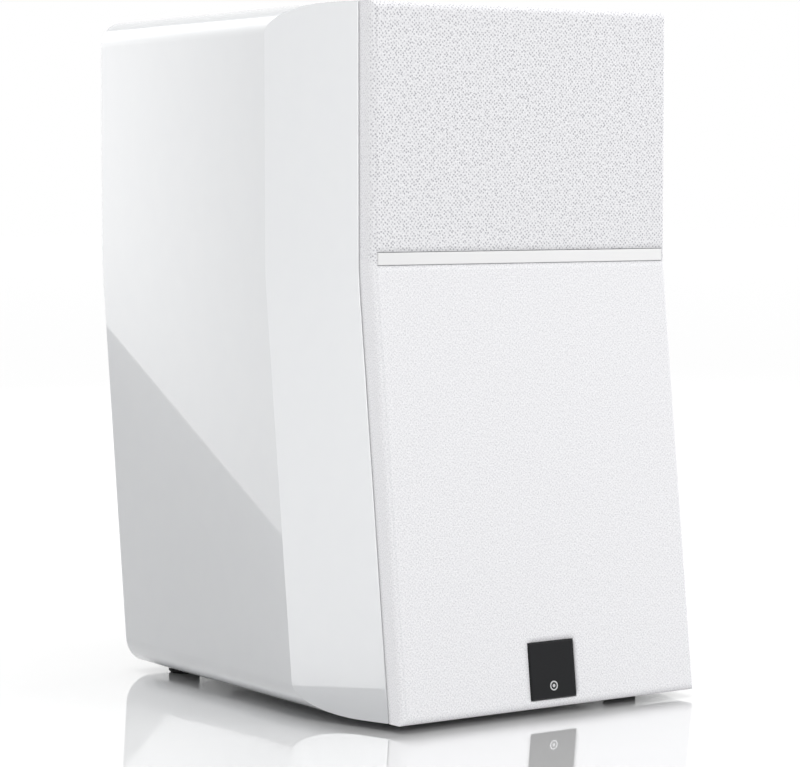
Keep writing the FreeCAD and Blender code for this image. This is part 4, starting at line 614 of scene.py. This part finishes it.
@dataclass
class Suspension:
    """A ring that flexes between the basket and the moving parts, in equal sectors round the woofer's axis.

    Each sector is the section turned about the axis through its own width. Two neighbours lie alike
    on both sides of the edge that they share.

    Attributes:
        name: what the sectors' names start with.
        node: the CAD node that they replace.
        slot: the record's material slot.
        section: closed loop of (radius, height) points, with heights out of the cabinet's front.
        held_radius: where the ring is glued to the basket; not used.
        moving_radius: where it is glued to the moving parts; not used.
        origin: where the axis meets the cabinet's front.
        angle: the lean of the front there.
        sectors: number of pieces round the axis.
        steps: cells round each sector.
    """

    name: str
    node: str
    slot: str
    section: np.ndarray
    held_radius: float
    moving_radius: float
    origin: Vector
    angle: float
    sectors: int = 12
    steps: int = 16

    def _turned(self, turn: np.ndarray) -> np.ndarray:
        """The section turned about the woofer's axis.

        A section point (r, h) goes to origin + r (cos t X + sin t U) + h N, where U points up the leaning front
        and N points out of it.

        Args:
            turn: the angles t.

        Returns:
            (angles, section points, 3) array of places.
        """
        right = np.array([1.0, 0.0, 0.0])
        up = np.array([0.0, math.sin(self.angle), math.cos(self.angle)])
        out = np.array([0.0, -math.cos(self.angle), math.sin(self.angle)])
        way = np.cos(turn)[:, None] * right + np.sin(turn)[:, None] * up
        r, h = self.section[:, 0], self.section[:, 1]
        return np.array(self.origin) + way[:, None, :] * r[None, :, None] + out * h[None, :, None]

    def build(self, dresser: Dresser) -> list[bpy.types.Object]:
        """Makes the sectors, each a closed solid with its ends capped.

        Args:
            dresser: gives them their finish.

        Returns:
            The sectors.
        """
        width = 2 * math.pi / self.sectors
        count = len(self.section)
        made = []
        for i in range(self.sectors):
            middle = i * width
            turn = np.linspace(middle - width / 2, middle + width / 2, self.steps + 1)
            faces = grid_faces(turn.size, count, closed=True).tolist()
            faces += [list(range(count)), list(range((turn.size - 1) * count, turn.size * count))]
            sector = make_piece(f"{self.name}_{i + 1:02d}", self._turned(turn).reshape(-1, 3), faces)
            clean_mesh(sector)
            smooth = np.ones(len(sector.data.polygons), bool)
            smooth[-2:] = False
            sector.data.polygons.foreach_set("use_smooth", smooth)
            dresser.dress(sector, self.slot)
            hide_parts(self.node)
            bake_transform(sector)
            made.append(sector)
        return made


def half_roll_section(seat: float, centre: float, radius: float, wall: float, lip: float) -> np.ndarray:
    """Section of a half-roll with flat lips: an outer and an inner half circle about the same centre.

    Args:
        seat: height of the lips' underside.
        centre: the roll's middle radius.
        radius: the roll's outer radius of section.
        wall: thickness.
        lip: width of each lip.

    Returns:
        Closed loop of (radius, height) points, without repeating the first.
    """
    start = math.asin(wall / radius)
    outer = np.linspace(math.pi - start, start, 19)
    inner = np.linspace(0, math.pi, 17)
    small = radius - wall
    top = seat + wall
    return np.concatenate([
        [[centre - radius - lip, top]],
        np.stack([centre + radius * np.cos(outer), seat + radius * np.sin(outer)], axis=1),
        [[centre + radius + lip, top], [centre + radius + lip, seat]],
        np.stack([centre + small * np.cos(inner), seat + small * np.sin(inner)], axis=1),
        [[centre - radius - lip, seat]]])


def corrugated_section(inner: float, flat_in: float, flat_out: float, outer: float, low: float, swing: float,
                       waves: float, wall: float) -> np.ndarray:
    """Section of a corrugated disc: flat collar and rim with sine waves between.

    Height = low + swing sin(2 pi waves (r - flat_in) / (flat_out - flat_in)).

    Args:
        inner: the collar's radius.
        flat_in: where the waves start.
        flat_out: where they end.
        outer: the rim's radius.
        low: height of the underside.
        swing: half the waves' height.
        waves: number of waves.
        wall: thickness.

    Returns:
        Closed loop of (radius, height) points.
    """
    r = np.concatenate([[inner], np.linspace(flat_in, flat_out, 41), [outer]])
    share = np.clip((r - flat_in) / (flat_out - flat_in), 0, 1)
    under = low + swing * np.sin(2 * math.pi * waves * share)
    over = under + wall
    return np.concatenate([np.stack([r, over], axis=1), np.stack([r, under], axis=1)[::-1]])


# ---------------------------------------------------------------- wadding

PAD_DEPTH = 18.0 * MM
PAD_START = 70.5 * MM       # cabinet's front to the pads
PAD_END = 227.0 * MM        # cabinet's front to the pads' far ends
PAD_TOP = 217.0 * MM        # top of the side pads, above the floor
WALL_AT_START = 105.1 * MM  # centre line to the side wall's inside, where the pads start
WALL_AT_END = 96.9 * MM
TOP_PAD_INSET = 12.0 * MM   # side wall's inside to the top pad
TUFT_LIMIT = 2.0            # the highest tuft, in tuft heights
TUFT_ROOM = 2.2             # what the crown keeps free for tufts, in tuft heights


@dataclass
class WaddingPad:
    """A polyester pad that lies against a cabinet wall, crowned towards the chamber and pinched at its edges.

    Attributes:
        name: the pad's name.
        corner: one corner of its back.
        first: from that corner along one side.
        second: from that corner along the other side.
        normal: unit vector off the wall.
        lean: the bend that it follows, or None above the bend.
        seed: for its tufts.
        thickness: height of its crown, with the tufts.
        off_wall: gap between its back and the wall.
        fill: share of the padding's height that it keeps; not used.
        grid: points along each side.
        tuft: height of a tuft.
        pinch: how far the sides pull in between the corners, as a share of half the width.
    """

    name: str
    corner: np.ndarray
    first: np.ndarray
    second: np.ndarray
    normal: np.ndarray
    lean: Lean | None
    seed: int
    thickness: float = PAD_DEPTH
    off_wall: float = 0.1 * MM
    fill: float = 0.55
    grid: int = 49
    tuft: float = 0.9 * MM
    pinch: float = 0.02

    def build(self, dresser: Dresser) -> bpy.types.Object:
        """Makes the pad as a flat back and a crowned front that share their rim.

        With a and b from -1 to 1 across the pad, the front stands (thickness - room for tufts + noise) x
        (1 - a^8)^0.5 (1 - b^8)^0.5 off the back, where the noise is seeded and smoothed. The sides pull in a
        little between the corners.

        Args:
            dresser: gives it its finish.

        Returns:
            The pad.
        """
        n = self.grid
        line = np.sin(np.linspace(-1, 1, n) * math.pi / 2)
        a, b = np.meshgrid(line, line)
        rise = np.sqrt((1 - a ** 8) * (1 - b ** 8))
        noise = np.random.default_rng(self.seed).normal(size=(n, n))
        for _ in range(4):
            noise = (noise + np.roll(noise, 1, 0) + np.roll(noise, -1, 0) + np.roll(noise, 1, 1)
                     + np.roll(noise, -1, 1)) / 5
        noise = np.clip(noise / noise.std(), -TUFT_LIMIT, TUFT_LIMIT)
        across = (a * (1 - self.pinch * (1 - b ** 2)) + 1)[..., None] / 2 * self.first
        along = (b * (1 - self.pinch * (1 - a ** 2)) + 1)[..., None] / 2 * self.second
        front = rise * (self.thickness - TUFT_ROOM * self.tuft) + rise * self.tuft * noise
        back = self.corner + across + along + self.normal * self.off_wall
        sheets = [back, back + self.normal * front[..., None]]
        if self.lean is not None:
            for sheet in sheets:
                sheet[..., 1] += self.lean.shift(sheet[..., 2])
        quads = grid_faces(n, n)
        faces = np.concatenate([quads[:, ::-1], quads + n * n]).tolist()
        pad = make_piece(self.name, np.concatenate([s.reshape(-1, 3) for s in sheets]), faces)
        clean_mesh(pad, distance=2 * SAME_PLACE)
        dresser.dress(pad, "polyester_wadding")
        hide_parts("wadding_pads")
        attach(pad, "cabinet")
        return pad


def wadding_pads(lean: Lean, dresser: Dresser) -> list[bpy.types.Object]:
    """The two side pads of the lower chamber and the top pad of the upper one.

    Args:
        lean: the cabinet's bend.
        dresser: gives them their finish.

    Returns:
        The three pads.
    """
    low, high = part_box("wadding_pads")
    start, end = CABINET_FRONT + PAD_START, CABINET_FRONT + PAD_END
    pads = []
    for word, side, seed in (("left", -1.0, 10), ("right", 1.0, 12)):
        corner = np.array([side * WALL_AT_START, start, low.z])
        first = np.array([side * (WALL_AT_END - WALL_AT_START), end - start, 0.0])
        second = np.array([0.0, 0.0, PAD_TOP - low.z])
        pads.append(WaddingPad(f"wadding_pad_{word}", corner, first, second, np.array([-side, 0.0, 0.0]), lean, seed))
    half = WALL_AT_END - TOP_PAD_INSET
    pads.append(WaddingPad("wadding_pad_top", np.array([-half, start, high.z]), np.array([2 * half, 0.0, 0.0]),
                           np.array([0.0, end - start, 0.0]), np.array([0.0, 0.0, -1.0]), None, 23))
    return [pad.build(dresser) for pad in pads]


# ---------------------------------------------------------------- studio

@dataclass(frozen=True)
class Panel:
    """Glowing studio panel that shows only in the cabinet's polish, and only from its front.

    Attributes:
        name: the panel's name.
        foot: point on the floor that it is placed from.
        bearing: direction from that point, in degrees from +Y towards +X. The panel is square to it.
        distance: from the point to the panel.
        outline: corners as (metres sideways, metres up).
        glow: strength on its left and right edges, on top of the surroundings'.
    """

    name: str
    foot: tuple[float, float]
    bearing: float
    distance: float
    outline: tuple[tuple[float, float], ...]
    glow: tuple[float, float]


# The panel behind the left side has a slanted lower edge, which shows in the polished side wall, bright above
# and dim below. The facet's and the edges' panels stand where those faces mirror the room.
PANELS = (
    Panel("side_panel", (-0.113, 0.05), -30.0, 0.6,
          ((-0.20, 0.0), (-0.038, 0.0), (0.33, 0.454), (0.33, 3.0), (-0.20, 3.0)), (0.0, 3.1)),
    Panel("facet_panel", (-0.109, -0.08), -65.5, 0.15,
          ((-0.14, 0.0), (0.09, 0.0), (0.09, 0.6), (-0.14, 0.6)), (2.7, 2.7)),
    Panel("edge_panel", (-0.110, -0.12), -104.0, 1.2,
          ((-0.8, 0.0), (0.8, 0.0), (0.8, 0.9), (-0.8, 0.9)), (4.0, 4.0)),
)
# Only the lacquered cabinet shows the panels. The floor and everything else see straight through them.
MIRRORED_BY = "cabinet_shell"


@dataclass(frozen=True)
class Softbox:
    """Square lamp that lights surfaces without showing in them."""

    name: str
    place: tuple[float, float, float]
    aim: tuple[float, float, float]
    width: float
    watts: float

    def build(self) -> bpy.types.Object:
        """Puts the lamp at its place, pointing at its aim."""
        data = bpy.data.lights.new(self.name, "AREA")
        data.shape, data.size, data.size_y, data.energy = "RECTANGLE", self.width, self.width, self.watts
        lamp = bpy.data.objects.new(self.name, data)
        lamp.location = self.place
        lamp.rotation_euler = (Vector(self.aim) - Vector(self.place)).to_track_quat("-Z", "Y").to_euler()
        bpy.context.scene.collection.objects.link(lamp)
        lamp.visible_camera = lamp.visible_glossy = False
        return lamp


SOFTBOXES = (
    Softbox("key_softbox", (1.0, -1.7, 1.0), (0.0, -0.1, 0.2), 0.9, 17.0),
    Softbox("rear_softbox", (0.4, 2.2, 0.9), (0.0, 0.15, 0.2), 1.0, 11.0),
    Softbox("right_softbox", (2.2, 0.4, 0.9), (0.1, 0.05, 0.2), 1.0, 11.0),
)
# Lights only the grille cloth, on its side wrap.
CLOTH_SOFTBOX = Softbox("grille_side_softbox", (-1.6, -0.6, 0.6), (-0.1, -0.1, 0.2), 0.8, 9.5)


@dataclass(frozen=True)
class Studio:
    """Pale mirror-polished floor, white surroundings, reflection panels, lamps and the camera.

    Attributes:
        focal_mm: the camera's focal length.
        sensor_mm: width of its sensor.
        turn: the camera's heading, from +Y towards +X.
        pitch: how far it looks down.
        eye: its place.
        surroundings: strength of the surroundings where polished surfaces show them.
        fill: their strength where they light matt surfaces.
        floor_polish: share of the floor's look that is a mirror.
        overhead: strength of the light from above.
        overhead_spread: how wide that light is.
        floor_half: half the floor's width.
    """

    focal_mm: float = 135.0
    sensor_mm: float = 36.0
    turn: float = math.radians(35.897)
    pitch: float = math.radians(3.732)
    eye: tuple[float, float, float] = (-1.0035, -1.3906, 0.2828)
    surroundings: float = 1.0
    fill: float = 0.44
    floor_polish: float = 0.46
    overhead: float = 1.55
    overhead_spread: float = math.radians(40)
    floor_half: float = 14.0

    def camera(self) -> None:
        """Camera in front and to the left of the speaker, a little above its middle and looking slightly down."""
        data = bpy.data.cameras.new("studio_camera")
        data.lens, data.sensor_width = self.focal_mm, self.sensor_mm
        data.clip_start, data.clip_end = 0.05, 60.0
        camera = bpy.data.objects.new("studio_camera", data)
        camera.location = self.eye
        camera.rotation_euler = (math.pi / 2 - self.pitch, 0.0, -self.turn)
        bpy.context.scene.collection.objects.link(camera)
        bpy.context.scene.camera = camera

    def floor(self) -> None:
        """Large sheet of white acrylic with a mirror polish, which shows the speaker faintly upside down."""
        half = self.floor_half
        points = np.array([[-half, -half, 0], [half, -half, 0], [half, half, 0], [-half, half, 0]], float)
        floor = make_piece("studio_floor", points, [[0, 1, 2, 3]])
        material = bpy.data.materials.new("mirror_acrylic_floor")
        material.use_nodes = True
        tree = material.node_tree
        tree.nodes.clear()
        place = add(tree, "TexCoord").outputs["Object"]
        haze = add(tree, "TexNoise", {"Vector": place, "Scale": 6.0, "Detail": 2.0})
        rough = add(tree, "MapRange", {"Value": haze.outputs["Fac"], "To Min": 0.03, "To Max": 0.05})
        shader = add(tree, "BsdfPrincipled", {"Base Color": linear("#FDFDFD"), "Roughness": rough.outputs["Result"],
                                              "Metallic": self.floor_polish, "IOR": 1.49})
        add(tree, "OutputMaterial", {"Surface": shader.outputs[0]})
        floor.data.materials.append(material)

    def world(self) -> None:
        """White surroundings, which light matt surfaces less than they show in polished ones."""
        world = bpy.data.worlds.new("white_surroundings")
        world.use_nodes = True
        tree = world.node_tree
        tree.nodes.clear()
        path = add(tree, "LightPath")
        strength = add(tree, "MapRange", {"Value": path.outputs["Diffuse Depth"], "To Min": self.surroundings,
                                          "To Max": self.fill})
        shade = add(tree, "Background", {"Color": (1.0, 1.0, 1.0, 1.0), "Strength": strength.outputs[0]})
        add(tree, "OutputWorld", {"Surface": shade.outputs[0]})
        bpy.context.scene.world = world

    def panel(self, panel: Panel, mirrors: bpy.types.Collection) -> None:
        """Stands up one reflection panel.

        Args:
            panel: its place, outline and glow.
            mirrors: the only objects that show it.
        """
        turn = math.radians(panel.bearing)
        ahead = np.array([math.sin(turn), math.cos(turn), 0.0])
        aside = np.array([math.cos(turn), -math.sin(turn), 0.0])
        outline = np.array(panel.outline)
        start = np.array([*panel.foot, 1.0 * MM]) + ahead * panel.distance
        points = start + outline[:, :1] * aside + outline[:, 1:] * np.array([0.0, 0.0, 1.0])
        piece = make_piece(panel.name, points, [list(range(len(points)))])
        layer = piece.data.uv_layers.new(name="across")
        share = (outline - outline.min(0)) / (outline.max(0) - outline.min(0))
        layer.data.foreach_set("uv", share.astype(np.float32).reshape(-1))
        material = bpy.data.materials.new(panel.name)
        material.use_nodes = True
        tree = material.node_tree
        tree.nodes.clear()
        across = add(tree, "SeparateXYZ", {0: add(tree, "UVMap", uv_map="across").outputs[0]}).outputs["X"]
        glow = add(tree, "MapRange", {"Value": across, "To Min": panel.glow[0], "To Max": panel.glow[1]})
        light = add(tree, "Emission", {"Color": (1.0, 1.0, 1.0, 1.0), "Strength": glow.outputs[0]})
        clear = add(tree, "BsdfTransparent").outputs[0]
        front = add(tree, "AddShader", {0: light.outputs[0], 1: clear}).outputs[0]
        back = add(tree, "NewGeometry").outputs["Backfacing"]
        one_sided = add(tree, "MixShader", {0: back, 1: front, 2: clear})
        add(tree, "OutputMaterial", {"Surface": one_sided.outputs[0]})
        piece.data.materials.append(material)
        piece.visible_camera = piece.visible_diffuse = piece.visible_shadow = piece.visible_transmission = False
        piece.light_linking.receiver_collection = mirrors

    def ceiling(self) -> None:
        """Very soft light from straight above, which whitens the floor more than the upright faces."""
        data = bpy.data.lights.new("ceiling_light", "SUN")
        data.energy, data.angle = self.overhead, self.overhead_spread
        lamp = bpy.data.objects.new("ceiling_light", data)
        bpy.context.scene.collection.objects.link(lamp)
        lamp.visible_glossy = False

    def build(self, cloth: bpy.types.Object) -> None:
        """Sets the whole studio up.

        Args:
            cloth: the grille cloth, whose side wrap gets a softbox of its own.
        """
        self.camera()
        self.floor()
        self.world()
        mirrors = bpy.data.collections.new("mirrors_of_panels")
        mirrors.objects.link(frame["nodes"][MIRRORED_BY])
        lit_from_side = bpy.data.collections.new("lit_from_the_side")
        lit_from_side.objects.link(cloth)
        for panel in PANELS:
            self.panel(panel, mirrors)
        self.ceiling()
        for softbox in SOFTBOXES:
            softbox.build()
        CLOTH_SOFTBOX.build().light_linking.receiver_collection = lit_from_side
        bpy.context.scene.view_settings.view_transform = "Standard"


# ---------------------------------------------------------------- assembly

def dress_cad_nodes(dresser: Dresser) -> None:
    """Gives every CAD node the finish of its slot in the record."""
    for part in frame["record"]["subparts"]:
        dresser.dress(frame["nodes"][part["node"]], part["material_slot"])
        LOG.info("dressed %s as %s", part["node"], part["material_slot"])


def woofer_suspensions(lean: Lean) -> tuple[Suspension, Suspension]:
    """The surround, a half-roll at the cone's edge, and the spider, a corrugated disc at its neck.

    Args:
        lean: the cabinet's bend.

    Returns:
        The surround and the spider, not built yet.
    """
    origin = Vector((0.0, CABINET_FRONT + float(lean.shift(np.array(WOOFER_Z))), WOOFER_Z))
    roll = half_roll_section(seat=-1.5 * MM, centre=59.0 * MM, radius=6.6 * MM, wall=0.9 * MM, lip=4.5 * MM)
    waves = corrugated_section(inner=16.4 * MM, flat_in=18.9 * MM, flat_out=36.5 * MM, outer=41.2 * MM,
                               low=-31.0 * MM, swing=1.0 * MM, waves=4.0, wall=0.6 * MM)
    return (Suspension("surround_sector", "woofer_surround", "butyl_rubber", roll, held_radius=63.3 * MM,
                       moving_radius=52.5 * MM, origin=origin, angle=lean.angle),
            Suspension("spider_sector", "woofer_spider", "resin_cloth", waves, held_radius=36.0 * MM,
                       moving_radius=19.5 * MM, origin=origin, angle=lean.angle))


def main() -> None:
    """Builds the looks in order."""
    logging.basicConfig(level=logging.INFO, format="%(message)s")
    dresser = Dresser()
    lean = Lean(lean_angle())
    dress_cad_nodes(dresser)
    cloth = GrilleCloth(lean).build(dresser)
    LOG.info("made %s", cloth.name)
    Studio().build(cloth)
    LOG.info("made the studio")
    for ring in woofer_suspensions(lean):
        for sector in ring.build(dresser):
            LOG.info("made %s", sector.name)
    for pad in wadding_pads(lean, dresser):
        LOG.info("made %s", pad.name)


if __name__ == "__main__":
    main()
